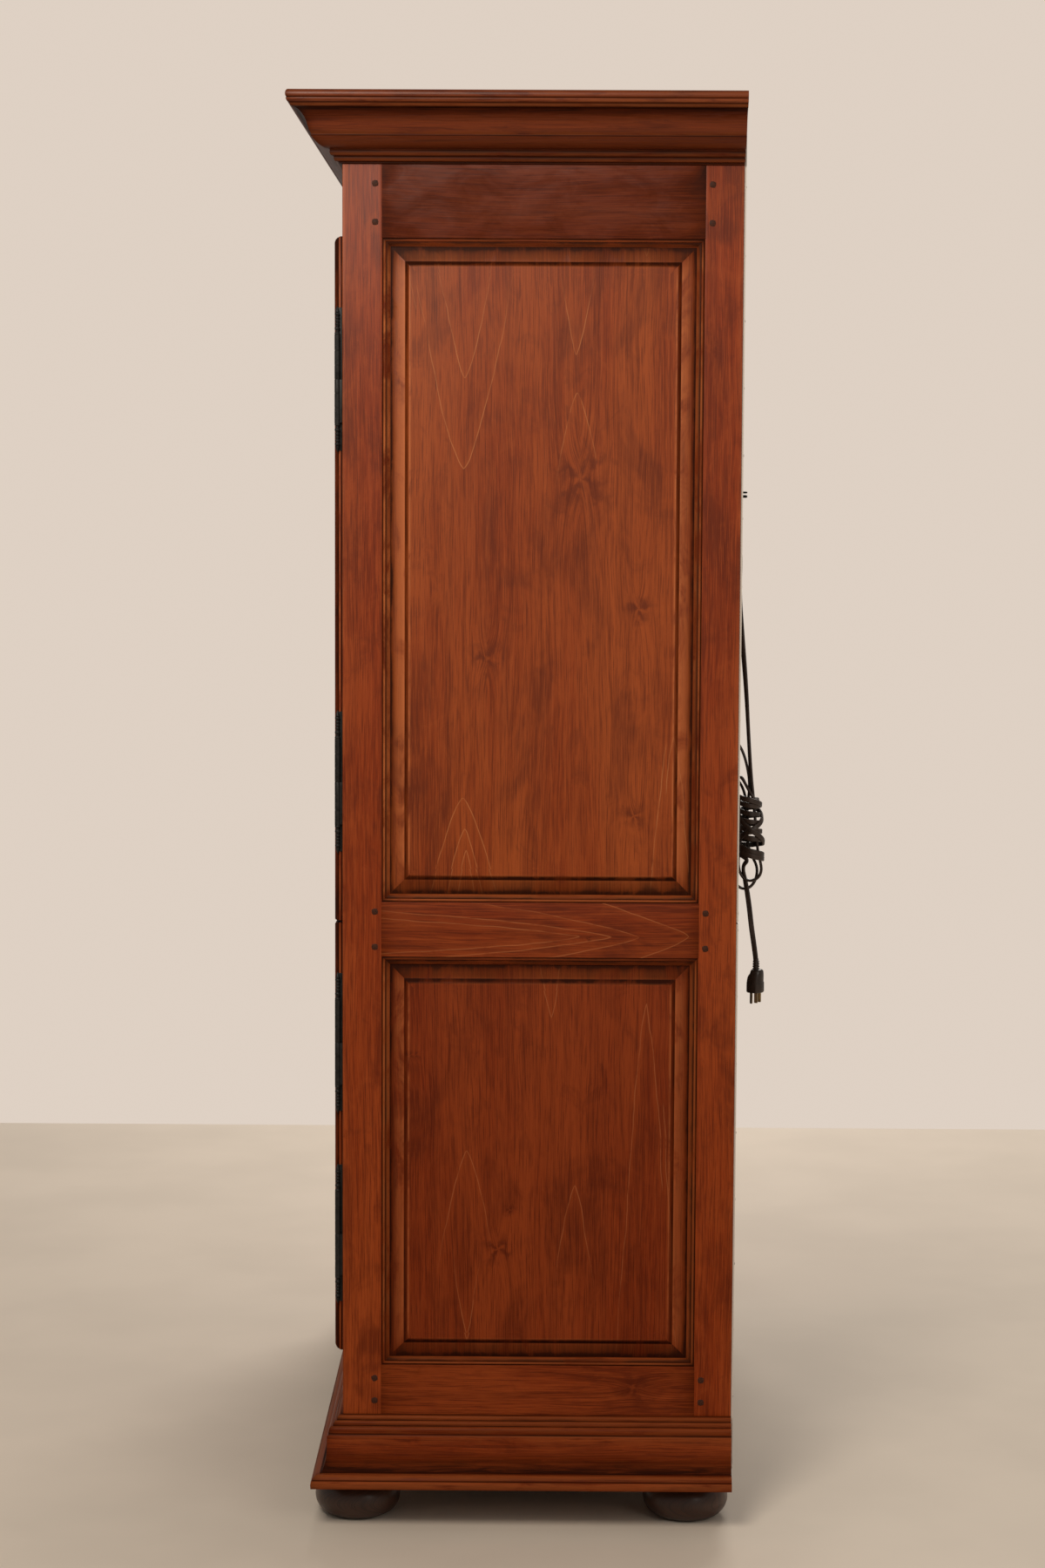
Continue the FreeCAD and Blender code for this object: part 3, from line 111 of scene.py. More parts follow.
# the cord's way: down the back, in two long loops round the hank, and from there to the plug
CORD_DROP = tenths(
    (-200, 3120, 14900), (-200, 3263, 14900), (-196, 3387, 14828), (-190, 3456, 14704),
    (-180, 3462, 14440), (-170, 3448, 13960), (-185, 3510, 13220), (-210, 3590, 12320),
    (-210, 3635, 11580), (-190, 3680, 10900))
CORD_LOOPS = tenths(
    (-160, 3715, 10580), (-130, 3745, 10300), (-120, 3770, 10020), (-120, 3790, 9780),
    (-120, 3815, 9580), (-120, 3860, 9420), (-120, 3875, 9300), (-130, 3845, 9200),
    (-140, 3775, 9135), (-160, 3680, 9110), (-180, 3585, 9140), (-200, 3515, 9240),
    (-210, 3485, 9390), (-230, 3495, 9570), (-260, 3520, 9780), (-280, 3550, 10020),
    (-290, 3600, 10280), (-280, 3660, 10540), (-270, 3665, 10800), (-270, 3625, 11040),
    (-270, 3555, 11280), (-270, 3465, 11440), (-280, 3370, 11500), (-290, 3285, 11455),
    (-310, 3230, 11330), (-330, 3220, 11180), (-340, 3260, 11040), (-330, 3340, 10930),
    (-310, 3435, 10850), (-280, 3530, 10730), (-270, 3590, 10570), (-280, 3630, 10360),
    (-310, 3645, 10120), (-340, 3635, 9880), (-340, 3660, 9660), (-310, 3730, 9500),
    (-280, 3795, 9380), (-270, 3815, 9250), (-270, 3785, 9110), (-270, 3720, 9010),
    (-270, 3640, 8965), (-280, 3550, 8965), (-290, 3475, 9015), (-300, 3425, 9110),
    (-310, 3410, 9250), (-330, 3430, 9430), (-360, 3470, 9620), (-390, 3505, 9840),
    (-410, 3520, 10080), (-410, 3505, 10330), (-390, 3460, 10550), (-360, 3415, 10710),
    (-310, 3405, 10830), (-250, 3460, 10895), (-190, 3535, 10860), (-150, 3590, 10750))
# the winding round the hank: (quarter turns, height in mm, 0 inner layer to 1 outer layer);
# whole turns lie on the right, then come the far end, the hidden side and the case
HANK_TURNS = [
    (0.3, 1050, 0.0), (3, 1044, 0.0), (7, 1030, 0.0), (11, 1016, 0.0), (15, 1002, 0.0),
    (19, 988, 0.0), (22, 978, 0.1), (23, 982, 0.5), (24, 1000, 0.9), (25, 1020, 1.0),
    (26, 1043, 1.0), (27, 1056, 0.9), (28, 1050, 1.0), (29, 1040, 1.0), (30, 1033, 1.0),
    (31, 1024, 1.0), (32, 998, 1.1), (33, 975, 1.0), (34, 969, 0.8), (35, 972, 0.8),
    (36, 963, 0.8), (37, 955, 0.9), (38, 958, 0.8), (39, 965, 0.8), (40, 955, 0.9),
    (41, 948, 0.9), (42, 951, 0.8), (43.6, 957, 0.8)]
CORD_TAIL = tenths(
    (-15, 3640, 9480), (-80, 3570, 9400), (-160, 3565, 9290), (-200, 3605, 9120),
    (-210, 3645, 8900), (-214, 3685, 8630), (-210, 3720, 8320), (-203, 3765, 8030),
    (-200, 3800, 7780), (-200, 3806, 7680))
# turn of the flat side away from the side of the case: (run along the cord, degrees), and
# for the tail counted back from the plug
CORD_TWISTS = [(0.0, 45.0), (0.10, 45.0), (0.19, 20.0), (0.25, 25.0), (0.29, 82.0), (0.35, 80.0),
               (0.42, 60.0), (0.50, 90.0), (9.0, 90.0)]
TAIL_TWISTS = [(-9.0, 70.0), (-0.17, 70.0), (-0.12, 8.0), (-0.045, 0.0), (0.0, 50.0)]
PLUG_CENTRE = (-0.020, 0.3806, 0.0)
NECK_RIBS = [(778.5, 3.4), (777.6, 4.6), (774.4, 4.7), (774.0, 6.0), (771.6, 6.2), (771.2, 4.7),
             (770.2, 4.7), (769.8, 6.2), (767.5, 6.4), (767.1, 4.8), (766.1, 4.8), (765.7, 6.4),
             (763.4, 6.5), (763.0, 4.9), (761.8, 4.9), (761.4, 6.5), (758.6, 6.7)]
PLUG_BODY = [(760.0, 6.0, 5.0, 6.0), (759.2, 10.0, 6.4, 10.2), (757.0, 12.0, 7.4, 11.8),
             (752.5, 12.6, 8.6, 12.2), (749.5, 13.2, 11.4, 12.2), (745.5, 13.8, 13.4, 12.0),
             (740.0, 14.2, 14.3, 11.8), (737.8, 14.3, 14.5, 11.8), (737.2, 14.8, 14.7, 12.6),
             (730.0, 15.0, 14.8, 12.7), (722.4, 15.0, 14.8, 12.7), (721.2, 14.7, 14.5, 12.4),
             (720.2, 13.8, 13.6, 11.6)]
PLUG_FACE = 720.2
EARTH_OUT = 8.4


# ---------------------------------------------------------------- sizes and colours


def length(name, about, default, **more):
    return bpy.props.FloatProperty(name=name, description=about, default=default,
                                   unit="LENGTH", precision=4, **more)


def colour(name, about, default):
    return bpy.props.FloatVectorProperty(name=name, description=about, default=default,
                                         size=3, min=0, max=1, subtype="COLOR")


class ArmoireWood(bpy.types.PropertyGroup):
    edge_soft: length("Edge softness", "Rounding of the sawn edges of the boards", 1.1 * MM)
    bead_soft: length("Board edge", "Rounding where rails meet stiles", 0.35 * MM)
    dark_grain: colour("Dark grain", "Stain in the open pores", (0.092, 0.0125, 0.0024))
    mid_grain: colour("Wood", "Body of the reddish brown stain", (0.196, 0.0268, 0.0037))
    light_grain: colour("Light grain", "Stain over the hard, pale grain", (0.270, 0.0480, 0.0088))
    pale_line: colour("Growth lines", "Thin pale lines of the figure", (0.430, 0.1400, 0.0480))
    # also the tone of painted shade in grooves and coves and of the painted shadow under the
    # cornice
    glaze: colour("Glaze", "Dark glaze left in corners and grooves", (0.0150, 0.0036, 0.0018))
    # also the tone of painted highlights on arrises, bead crests and edges
    worn: colour("Worn edge", "Rubbed edges of mouldings and bevels", (0.460, 0.128, 0.038))
    foot: colour("Feet", "Turned feet, stained darker", (0.036, 0.0140, 0.0078))
    inner: colour("Inside", "Clear finish inside the case", (0.300, 0.1500, 0.0700))


class ArmoireFittings(bpy.types.PropertyGroup):
    hinge_black: colour("Hinges", "Blackened steel", (0.0070, 0.0062, 0.0058))
    cord_width: length("Cord width", "Over the three cores of the flat cord", 8.8 * MM)
    cord_thick: length("Cord thickness", "Through one core of the flat cord", 4.6 * MM)
    cord_brown: colour("Cord", "Dark brown vinyl of the cord and plug", (0.0330, 0.0190, 0.0135))
    plug_turn: bpy.props.FloatProperty(
        name="Plug turn", description="Turn of the hanging plug about its cord",
        default=math.radians(-30), subtype="ANGLE")


class ArmoireStage(bpy.types.PropertyGroup):
    lens: bpy.props.FloatProperty(name="Lens", description="Focal length in millimetres",
                                  default=70.48, unit="CAMERA")
    camera_out: length("Camera distance", "Camera to the right of the middle", 5.148)
    camera_back: length("Camera depth", "Camera behind the armoire's own middle", 0.023)
    camera_high: length("Camera height", "Camera over the floor", 1.538)
    floor: colour("Floor", "Pale floor", (0.70, 0.61, 0.52))
    wall: colour("Background", "Pale warm background", (0.735, 0.635, 0.550))


# ---------------------------------------------------------------- node trees


class Tree:
    """Short calls that add one node each and return its first output."""

    def __init__(self, tree):
        self.tree = tree

    def add(self, kind, inputs=(), output=0, **settings):
        node = self.tree.nodes.new(kind)
        for name, value in settings.items():
            setattr(node, name, value)
        for key, value in (inputs.items() if isinstance(inputs, dict) else enumerate(inputs)):
            if isinstance(value, bpy.types.NodeSocket):
                self.tree.links.new(value, node.inputs[key])
            elif value is not None:
                node.inputs[key].default_value = value
        self.last = node
        return node.outputs[output] if node.outputs else None

    def math(self, operation, *values, clamp=False):
        return self.add("ShaderNodeMath", values, operation=operation, use_clamp=clamp)

    def plus(self, *values):
        return self.math("ADD", *values)

    def minus(self, *values):
        return self.math("SUBTRACT", *values)

    def times(self, *values):
        return self.math("MULTIPLY", *values)

    def times_plus(self, *values):
        return self.math("MULTIPLY_ADD", *values)

    def vector(self, x, y, z):
        return self.add("ShaderNodeCombineXYZ", (x, y, z))

    def noise(self, place, scale=1.0, detail=2.0, rough=0.5, distortion=0.0):
        return self.add("ShaderNodeTexNoise", {"Vector": place, "Scale": scale, "Detail": detail,
                                               "Roughness": rough, "Distortion": distortion})

    def patch(self, along, across, scales, number, detail=3.0, rough=0.5, twist=0.0):
        """Noise that is stretched by its two scales along and across the grain."""
        place = self.vector(self.times(along, scales[0]), self.times(across, scales[1]), number)
        return self.noise(place, 1.0, detail, rough, twist)

    def between(self, value, low, high, to_low=0.0, to_high=1.0, smooth=True):
        return self.add("ShaderNodeMapRange", (value, low, high, to_low, to_high),
                        interpolation_type="SMOOTHSTEP" if smooth else "LINEAR")

    def blend(self, share, first, second):
        first, second = (tone if isinstance(tone, bpy.types.NodeSocket) else (*tone, 1)
                         for tone in (first, second))
        return self.add("ShaderNodeMix", {0: share, 6: first, 7: second}, 2, data_type="RGBA")

    def tinted(self, base, value, low, high, share, tone):
        """The base with a share of a tone laid on it, the more the value nears high."""
        return self.blend(self.times(self.between(value, low, high), share), base, tone)

    def joined(self, *shapes):
        """Several shapes as one."""
        whole = self.add("GeometryNodeJoinGeometry")
        for shape in shapes:
            self.tree.links.new(shape, whole.node.inputs[0])
        return whole


class Finish(Tree):
    """A new material's tree, built round its principled shader."""
    SOCKETS = {"base": "Base Color", "rough": "Roughness", "normal": "Normal",
               "metal": "Metallic", "coat": "Coat Weight", "coat_rough": "Coat Roughness",
               "specular": "Specular IOR Level"}

    def __init__(self, name):
        self.material = bpy.data.materials.new(name)
        self.material.use_nodes = True
        super().__init__(self.material.node_tree)
        self.shader = next(n for n in self.tree.nodes if n.type == "BSDF_PRINCIPLED")

    def place(self):
        return self.add("ShaderNodeTexCoord", output=3)

    def grain(self):
        """Along and across the grain, from the piece's own map in metres."""
        placed = self.add("ShaderNodeUVMap", uv_map="grain")
        return self.add("ShaderNodeSeparateXYZ", (placed,)), self.last.outputs[1]

    def attribute(self, name):
        return self.add("ShaderNodeAttribute", output=2, attribute_name=name)

    def bumped(self, height, strength, distance, after=None):
        return self.add("ShaderNodeBump", {"Strength": strength, "Distance": distance,
                                           "Height": height, "Normal": after})

    def done(self, **sockets):
        """Sets the shader's sockets and gives the finished material."""
        for key, value in sockets.items():
            socket = self.shader.inputs[self.SOCKETS[key]]
            if isinstance(value, bpy.types.NodeSocket):
                self.tree.links.new(value, socket)
            else:
                socket.default_value = (*value, 1) if key == "base" else value
        return self.material


# ---------------------------------------------------------------- finishes


def arch_group():
    """One growth line: two flanks that meet in a tip. It gives the thin line and the haze
    that fades away inside it."""
    if "growth arch" in bpy.data.node_groups:
        return bpy.data.node_groups["growth arch"]
    group = bpy.data.node_groups.new("growth arch", "ShaderNodeTree")
    for name in ("Along", "Across", "Tip along", "Tip across", "Way", "Half width"):
        group.interface.new_socket(name=name, in_out="INPUT", socket_type="NodeSocketFloat")
    for name in ("Line", "Haze"):
        group.interface.new_socket(name=name, in_out="OUTPUT", socket_type="NodeSocketFloat")
    g = Tree(group)
    g.add("NodeGroupInput")
    along, across, tip_along, tip_across, way, half = g.last.outputs[:6]
    run = g.times(g.minus(along, tip_along), way)
    run_on = g.math("MAXIMUM", run, 0.0)
    flank = g.times(g.math("POWER", run_on, 0.74), half)
    away = g.math("ABSOLUTE", g.minus(across, tip_across))
    past = g.minus(away, flank)
    fade = g.times(g.between(run_on, 3.4, 0.6), g.between(run, -0.012, 0.004))
    line = g.times(g.between(g.math("ABSOLUTE", past), 0.0011, 0.0002), fade)
    haze = g.times(g.between(past, -0.011, 0.0), g.between(past, 0.0008, 0.0))
    haze = g.times(haze, fade)
    g.add("NodeGroupOutput", (line, haze))
    return group


def glazed_wood(name, tones, seed, knots=(), arches=(), depth=1.0, mottle=1.0, low_polish=0.30):
    """Stained and glazed hardwood. The grain runs along U of the piece's own map (metres);
    the two attributes say where dark glaze and painted shade sit, and where edges are rubbed and
    carry painted highlights.
    knots are (along, across, size) and arches (along, across, way, half width) in that map."""
    dark, middle, light, line_tone, glaze_and_shade_tone, wear_and_highlight_tone = tones
    t = Finish(name)
    along, across = t.grain()

    def patch(scale_along, scale_across, number, *more, lane=None):
        return t.patch(along, lane or across, (scale_along, scale_across), seed + number, *more)
    lane = t.times_plus(patch(1.3, 5.0, 0.0), 0.045, across)
    centres = [(t.minus(across, across_at), t.minus(along, along_at), size)
               for along_at, across_at, size in knots]
    for away, far, size in centres:
        # the grain bends round a knot
        near = t.plus(t.math("POWER", t.math("DIVIDE", away, size * 1.2), 2.0),
                      t.math("POWER", t.math("DIVIDE", far, size * 1.8), 2.0))
        pull = t.math("DIVIDE", size * 0.35, t.plus(near, 0.6))
        lane = t.plus(lane, t.times(pull, t.math("SIGN", away)))
    broad = patch(0.8, 9.0, 3.1, 3.0, 0.55, lane=lane)
    streak = patch(4.4, 230.0, 5.7, 4.0, 0.68, lane=lane)
    wide_streak = patch(1.3, 46.0, 6.9, lane=lane)
    fine = patch(20.0, 900.0, 8.3, 3.0, 0.55, lane=lane)
    blotch = patch(5.0, 9.0, 11.9, 4.0, 0.6, 0.5)
    smudge = patch(13.0, 24.0, 15.2, 4.0, 0.65, 0.8)
    # body colour: broad bands, then streaks, then short dark pores
    base = t.blend(t.between(broad, 0.36, 0.62), middle, light)
    for shade, value, low, high, share in (
            (dark, wide_streak, 0.50, 0.32, 0.36 * depth), (dark, streak, 0.51, 0.33, 0.56 * depth),
            (light, streak, 0.51, 0.66, 0.62 * depth), (dark, blotch, 0.50, 0.32, 0.62 * mottle),
            (light, blotch, 0.52, 0.68, 0.46 * mottle), (dark, smudge, 0.47, 0.32, 0.34 * mottle),
            (light, smudge, 0.54, 0.68, 0.30 * mottle), (dark, fine, 0.50, 0.34, 0.70),
            (light, fine, 0.53, 0.66, 0.60)):
        base = t.tinted(base, value, low, high, share, shade)
    if arches:
        ripple = t.times_plus(patch(7.0, 10.0, 23.0), 0.014, across)
        line = haze = 0.0
        for along_at, across_at, way, half in arches:
            t.add("ShaderNodeGroup", (along, ripple, along_at, across_at + 0.007, way, half),
                  node_tree=arch_group())
            ends = t.last.outputs
            line, haze = (t.math("MAXIMUM", *pair) for pair in ((line, ends[0]), (haze, ends[1])))
        lit = t.times(t.between(smudge, 0.28, 0.56), 0.52)
        base = t.blend(t.times(haze, 0.38), base, light)
        base = t.blend(t.times(line, lit), base, line_tone)
    wobble = patch(55.0, 70.0, 27.0) if knots else None
    for number, (away, far, size) in enumerate(centres):
        # a smudged star of dark figure with a small pale eye
        reach = t.math("SQRT", t.plus(t.times(away, away), t.times(far, far)))
        turned_by = t.times(t.math("ARCTAN2", away, far), 4.0 if number % 2 == 0 else 3.0)
        star = t.math("COSINE", t.times_plus(wobble, 9.0, turned_by))
        frayed = t.times_plus(t.minus(smudge, 0.5), 3.0 * size, reach)
        frayed = t.times_plus(t.minus(wobble, 0.5), 2.6 * size, frayed)
        mask = t.times(t.between(frayed, 2.1 * size, 0.3 * size),
                       t.between(t.times_plus(smudge, 5.0, star), 0.9, 3.6))
        base = t.blend(t.times(mask, 0.80), base, dark)
        base = t.tinted(base, reach, size * 0.30, size * 0.06, 0.4, light)
    # dark glaze in the corners, uneven as it was wiped, with painted shade in grooves and coves and
    # painted shadow of the cornice on the top rail; wiped end grain takes a redder stain
    glaze = t.attribute("glaze")
    thick = t.times_plus(t.minus(smudge, 0.5), t.times(glaze, 2.4), t.times(glaze, 1.05))
    thick = t.math("ADD", thick, t.times(t.between(smudge, 0.64, 0.82), 0.16), clamp=True)
    base = t.blend(t.times(thick, 0.93), base, glaze_and_shade_tone)
    t.add("ShaderNodeSeparateXYZ", (t.place(),))
    high = t.last.outputs[2]
    # rubbed edges with painted highlights on arrises and crests, painted weaker toward the bottom
    # as the light falls off
    worn = t.times(t.attribute("worn"), t.between(t.times_plus(broad, 0.5, smudge), 0.52, 0.84))
    worn = t.times(worn, t.between(high, 0.45, 1.25, 0.45, 0.90))
    base = t.blend(worn, base, wear_and_highlight_tone)
    polish = t.between(high, 0.35, 1.35, low_polish, 1.0)
    rough = t.times_plus(thick, 0.12, t.times_plus(streak, 0.14, 0.30))
    normal = t.bumped(t.times_plus(fine, 0.5, t.times(streak, 0.6)), 0.10, 0.35 * MM)
    normal = t.bumped(blotch, 0.06, 1.2 * MM, normal)
    return t.done(base=base, rough=rough, normal=normal, coat_rough=0.22,
                  coat=t.times(t.between(thick, 0.0, 0.6, 0.10, 0.0), polish),
                  specular=t.times(t.between(thick, 0.0, 0.6, 0.22, 0.05), polish))


def scaled(tone, factor):
    return tuple(factor * c for c in tone)


def blackened_steel(name, tone):
    t = Finish(name)
    place = t.place()
    cloud = t.noise(place, 90.0, 5.0, 0.6)
    pits = t.noise(place, 900.0, 3.0, 0.6)
    base = t.blend(t.between(cloud, 0.35, 0.7), tone, scaled(tone, 2.2))
    base = t.tinted(base, pits, 0.62, 0.75, 0.5, (0.035, 0.020, 0.013))
    return t.done(base=base, rough=t.between(cloud, 0.3, 0.75, 0.34, 0.56), metal=0.0,
                  specular=0.22, normal=t.bumped(t.plus(cloud, pits), 0.16, 0.2 * MM))


def bright_metal(name, tone, scale=300.0, rough_low=0.22, rough_high=0.42):
    t = Finish(name)
    cloud = t.noise(t.place(), scale, 4.0, 0.6)
    return t.done(base=t.blend(t.between(cloud, 0.35, 0.7), scaled(tone, 0.72), tone), metal=1.0,
                  rough=t.between(cloud, 0.3, 0.7, rough_low, rough_high),
                  normal=t.bumped(cloud, 0.05, 0.1 * MM))


def moulded_plastic(name, tone, rough=0.38):
    t = Finish(name)
    place = t.place()
    cloud = t.noise(place, 38.0, 3.0)
    return t.done(base=t.blend(t.between(cloud, 0.3, 0.7), scaled(tone, 0.8), scaled(tone, 1.25)),
                  rough=t.between(cloud, 0.3, 0.7, rough - 0.06, rough + 0.08),
                  normal=t.bumped(t.noise(place, 1400.0), 0.10, 0.05 * MM))


def cord_vinyl(name, tone):
    """Flat flexible cord: satin vinyl with scuffs along its length (U of its own map)."""
    t = Finish(name)
    along, across = t.grain()
    scuff = t.patch(along, across, (60.0, 900.0), 2.0, 4.0, 0.6)
    cloud = t.patch(along, across, (18.0, 60.0), 7.0)
    base = t.blend(t.between(cloud, 0.3, 0.7), tone, scaled(tone, 1.9))
    base = t.tinted(base, scuff, 0.60, 0.75, 0.35, (0.075, 0.052, 0.040))
    return t.done(base=base, rough=t.between(cloud, 0.3, 0.7, 0.30, 0.44), specular=0.5,
                  normal=t.bumped(scuff, 0.10, 0.1 * MM))


def pressed_board(name):
    """Dark fibre board: brown, with a fine mottle, paler and greyer at its sawn edge."""
    t = Finish(name)
    place = t.place()
    speck = t.noise(place, 420.0, 4.0, 0.7)
    cloud = t.noise(place, 5.0, 4.0, 0.6, 0.3)
    side = t.math("ABSOLUTE", t.add("ShaderNodeSeparateXYZ", (place,)))
    base = t.blend(t.between(cloud, 0.32, 0.68), (0.060, 0.030, 0.017), (0.105, 0.056, 0.032))
    base = t.tinted(base, speck, 0.50, 0.72, 0.6, (0.170, 0.100, 0.060))
    base = t.tinted(base, side, HALF - 4.2 * MM, HALF - 3.2 * MM, 0.9, (0.600, 0.540, 0.480))
    return t.done(base=base, rough=t.between(speck, 0.3, 0.7, 0.42, 0.62),
                  normal=t.bumped(speck, 0.12, 0.12 * MM))


def clear_wood(name, tone):
    """Lightly finished inside boards, the grain along the map's U."""
    t = Finish(name)
    along, across = t.grain()
    sway = t.patch(along, across, (1.0, 4.0), 1.0, 2.0)
    lane = t.times_plus(sway, 0.05, across)
    streak = t.patch(along, lane, (2.0, 90.0), 4.0, 5.0, 0.6)
    fine = t.patch(along, lane, (24.0, 800.0), 6.0, 2.0)
    rings = t.math("FRACT", t.times_plus(sway, 16.0, t.times(across, 14.0)))
    base = t.blend(t.between(streak, 0.35, 0.65), scaled(tone, 0.62), tone)
    base = t.tinted(base, rings, 0.6, 0.98, 0.35, scaled(tone, 0.55))
    base = t.tinted(base, fine, 0.48, 0.32, 0.35, scaled(tone, 0.45))
    base = t.blend(t.times(t.attribute("glaze"), 0.6), base, scaled(tone, 0.2))
    return t.done(base=base, rough=t.between(streak, 0.3, 0.7, 0.40, 0.55), coat=0.08,
                  coat_rough=0.3, normal=t.bumped(t.plus(streak, fine), 0.10, 0.25 * MM))


FINISHES = {}


def finish(name, make, *values, **more):
    """One finish, made the first time that it is asked for."""
    if name not in FINISHES:
        FINISHES[name] = make(name, *values, **more)
    return FINISHES[name]


def wood_tones(factor=1.0, warm=1.0):
    wood = bpy.context.scene.armoire_wood
    tones = [(tone[0] * factor, tone[1] * factor / warm, tone[2] * factor / warm)
             for tone in (wood.dark_grain, wood.mid_grain, wood.light_grain, wood.pale_line)]
    return tones + [tuple(wood.glaze), tuple(wood.worn)]


# ---------------------------------------------------------------- meshes


class Piece:
    """Collects the faces of one piece: places, grain map, glaze and painted shade, wear and painted
    highlight, and finish slot.
    """

    def __init__(self, name):
        self.name = name
        self.places, self.faces, self.slots = [], [], []
        self.grain, self.glaze, self.worn = [], [], []

    def face(self, places, grain, glaze=0.0, worn=0.0, slot=0):
        start = len(self.places)
        self.places.extend(places)
        self.faces.append(range(start, start + len(places)))
        self.grain.extend(grain)
        for store, value in ((self.glaze, glaze), (self.worn, worn)):
            store.extend(value if isinstance(value, (list, tuple)) else [value] * len(places))
        self.slots.append(slot)

    def strip(self, row, row2, slot=0):
        """Faces between two rows of corners, each (place, grain, glaze, worn)."""
        for four in zip(row, row[1:], row2[1:], row2):
            self.face(*map(list, zip(*four)), slot)

    def make(self, finishes, body, replaces=(), slot=None, sharp=32.0):
        mesh = bpy.data.meshes.new(self.name)
        mesh.from_pydata(self.places, [], self.faces)
        mesh.uv_layers.new(name="grain")
        mesh.uv_layers["grain"].data.foreach_set("uv", [c for pair in self.grain for c in pair])
        for name, store in (("glaze", self.glaze), ("worn", self.worn)):
            layer = mesh.attributes.new(name, "FLOAT", "CORNER")
            layer.data.foreach_set("value", store)
        mesh.polygons.foreach_set("material_index", self.slots)
        work = bmesh.new()
        work.from_mesh(mesh)
        bmesh.ops.remove_doubles(work, verts=work.verts, dist=2e-6)
        bmesh.ops.dissolve_degenerate(work, dist=1e-6, edges=work.edges)
        bmesh.ops.recalc_face_normals(work, faces=work.faces)
        work.to_mesh(mesh)
        work.free()
        return settle(self.name, mesh, finishes, body, replaces, sharp)


def settle(name, mesh, finishes, body, replaces=(), sharp=32.0):
    """Puts a mesh in the scene as a finished piece that rides on a body."""
    name = name.replace(" ", "_")
    if name in frame["nodes"]:
        name += "_finished"
    mesh.name = name
    slots = [0] * len(mesh.polygons)
    mesh.polygons.foreach_get("material_index", slots)
    mesh.materials.clear()  # this also sets every face back to the first finish
    for material in finishes:
        mesh.materials.append(material)
    mesh.polygons.foreach_set("material_index", slots)
    mesh.polygons.foreach_set("use_smooth", [True] * len(mesh.polygons))
    mesh.set_sharp_from_angle(angle=math.radians(sharp))
    mesh.update()
    item = bpy.data.objects.new(name, mesh)
    bpy.context.scene.collection.objects.link(item)
    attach(item, body)
    if replaces:
        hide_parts(*replaces)
    return item


def repaint(node, material):
    """A better finish on a solid whose shape stays."""
    item = frame["nodes"][node]
    if not item.material_slots:
        item.data.materials.append(material)
    for place in item.material_slots:
        place.material = material


def soft_steps(low, high, soft, extra=()):
    """Cuts across a board: two steps in each rounded edge, and further cuts between."""
    soft = min(soft, (high - low) / 3)
    part = soft * 0.586
    inside = [s for s in extra if low + soft * 1.2 < s < high - soft * 1.2]
    return [low, low + part, low + soft] + sorted(inside) + [high - soft, high - part, high]


def board(piece, low, high, along, soft, slot=0, seed=0.0, stain=None, cuts=((), (), ()),
          axis_at=0.0):
    """A board with rounded edges and its grain along one axis (0, 1 or 2). stain gives
    glaze and wear at a place, with painted shadow and painted highlight on the sides' boards."""
    low, high = Vector(low), Vector(high)
    steps = [soft_steps(low[a], high[a], soft, cuts[a]) for a in range(3)]
    inner_low, inner_high = low + Vector((soft,) * 3), high - Vector((soft,) * 3)
    for a in range(3):
        if inner_low[a] > inner_high[a]:
            inner_low[a] = inner_high[a] = (low[a] + high[a]) / 2
    thin, wide = sorted((a for a in range(3) if a != along), key=lambda a: high[a] - low[a])

    def corner(p, normal):
        core = Vector([min(max(p[a], inner_low[a]), inner_high[a]) for a in range(3)])
        out = p - core
        place = core + out.normalized() * min(soft, (high - low)[thin] / 3) if out.length else p
        grain = (p[along] + seed, (p[wide] - axis_at if normal == thin else p[thin] + p[wide])
                 + seed * 0.37)
        if normal == along:
            grain = (p[thin] * 3 + seed, p[wide] + seed)
        return (place, grain, *(stain(p) if stain else (0.0, 0.0)))

    for normal in range(3):
        b, c = [a for a in range(3) if a != normal]
        for end in (low[normal], high[normal]):
            rows = []
            for at in steps[b]:
                rows.append([])
                for at2 in steps[c]:
                    p = Vector((0, 0, 0))
                    p[normal], p[b], p[c] = end, at, at2
                    rows[-1].append(corner(p, normal))
            for row, row2 in zip(rows, rows[1:]):
                for k in range(len(row) - 1):
                    four = (row[k], row2[k], row2[k + 1], row[k + 1])
                    piece.face(*map(list, zip(*four)), slot)


def spread_stations(low, high, *distances):
    """Places along a run, measured inward from both of its ends in millimetres."""
    middle = (low + high) / 2
    found = {middle}
    for d in distances:
        if low + d * MM < middle:
            found.update((low + d * MM, high - d * MM))
    return sorted(found)


# how much darker a place is near a corner, fading over 14 mm
def corner_darkening(distance):
    return math.exp(-distance / (14 * MM))


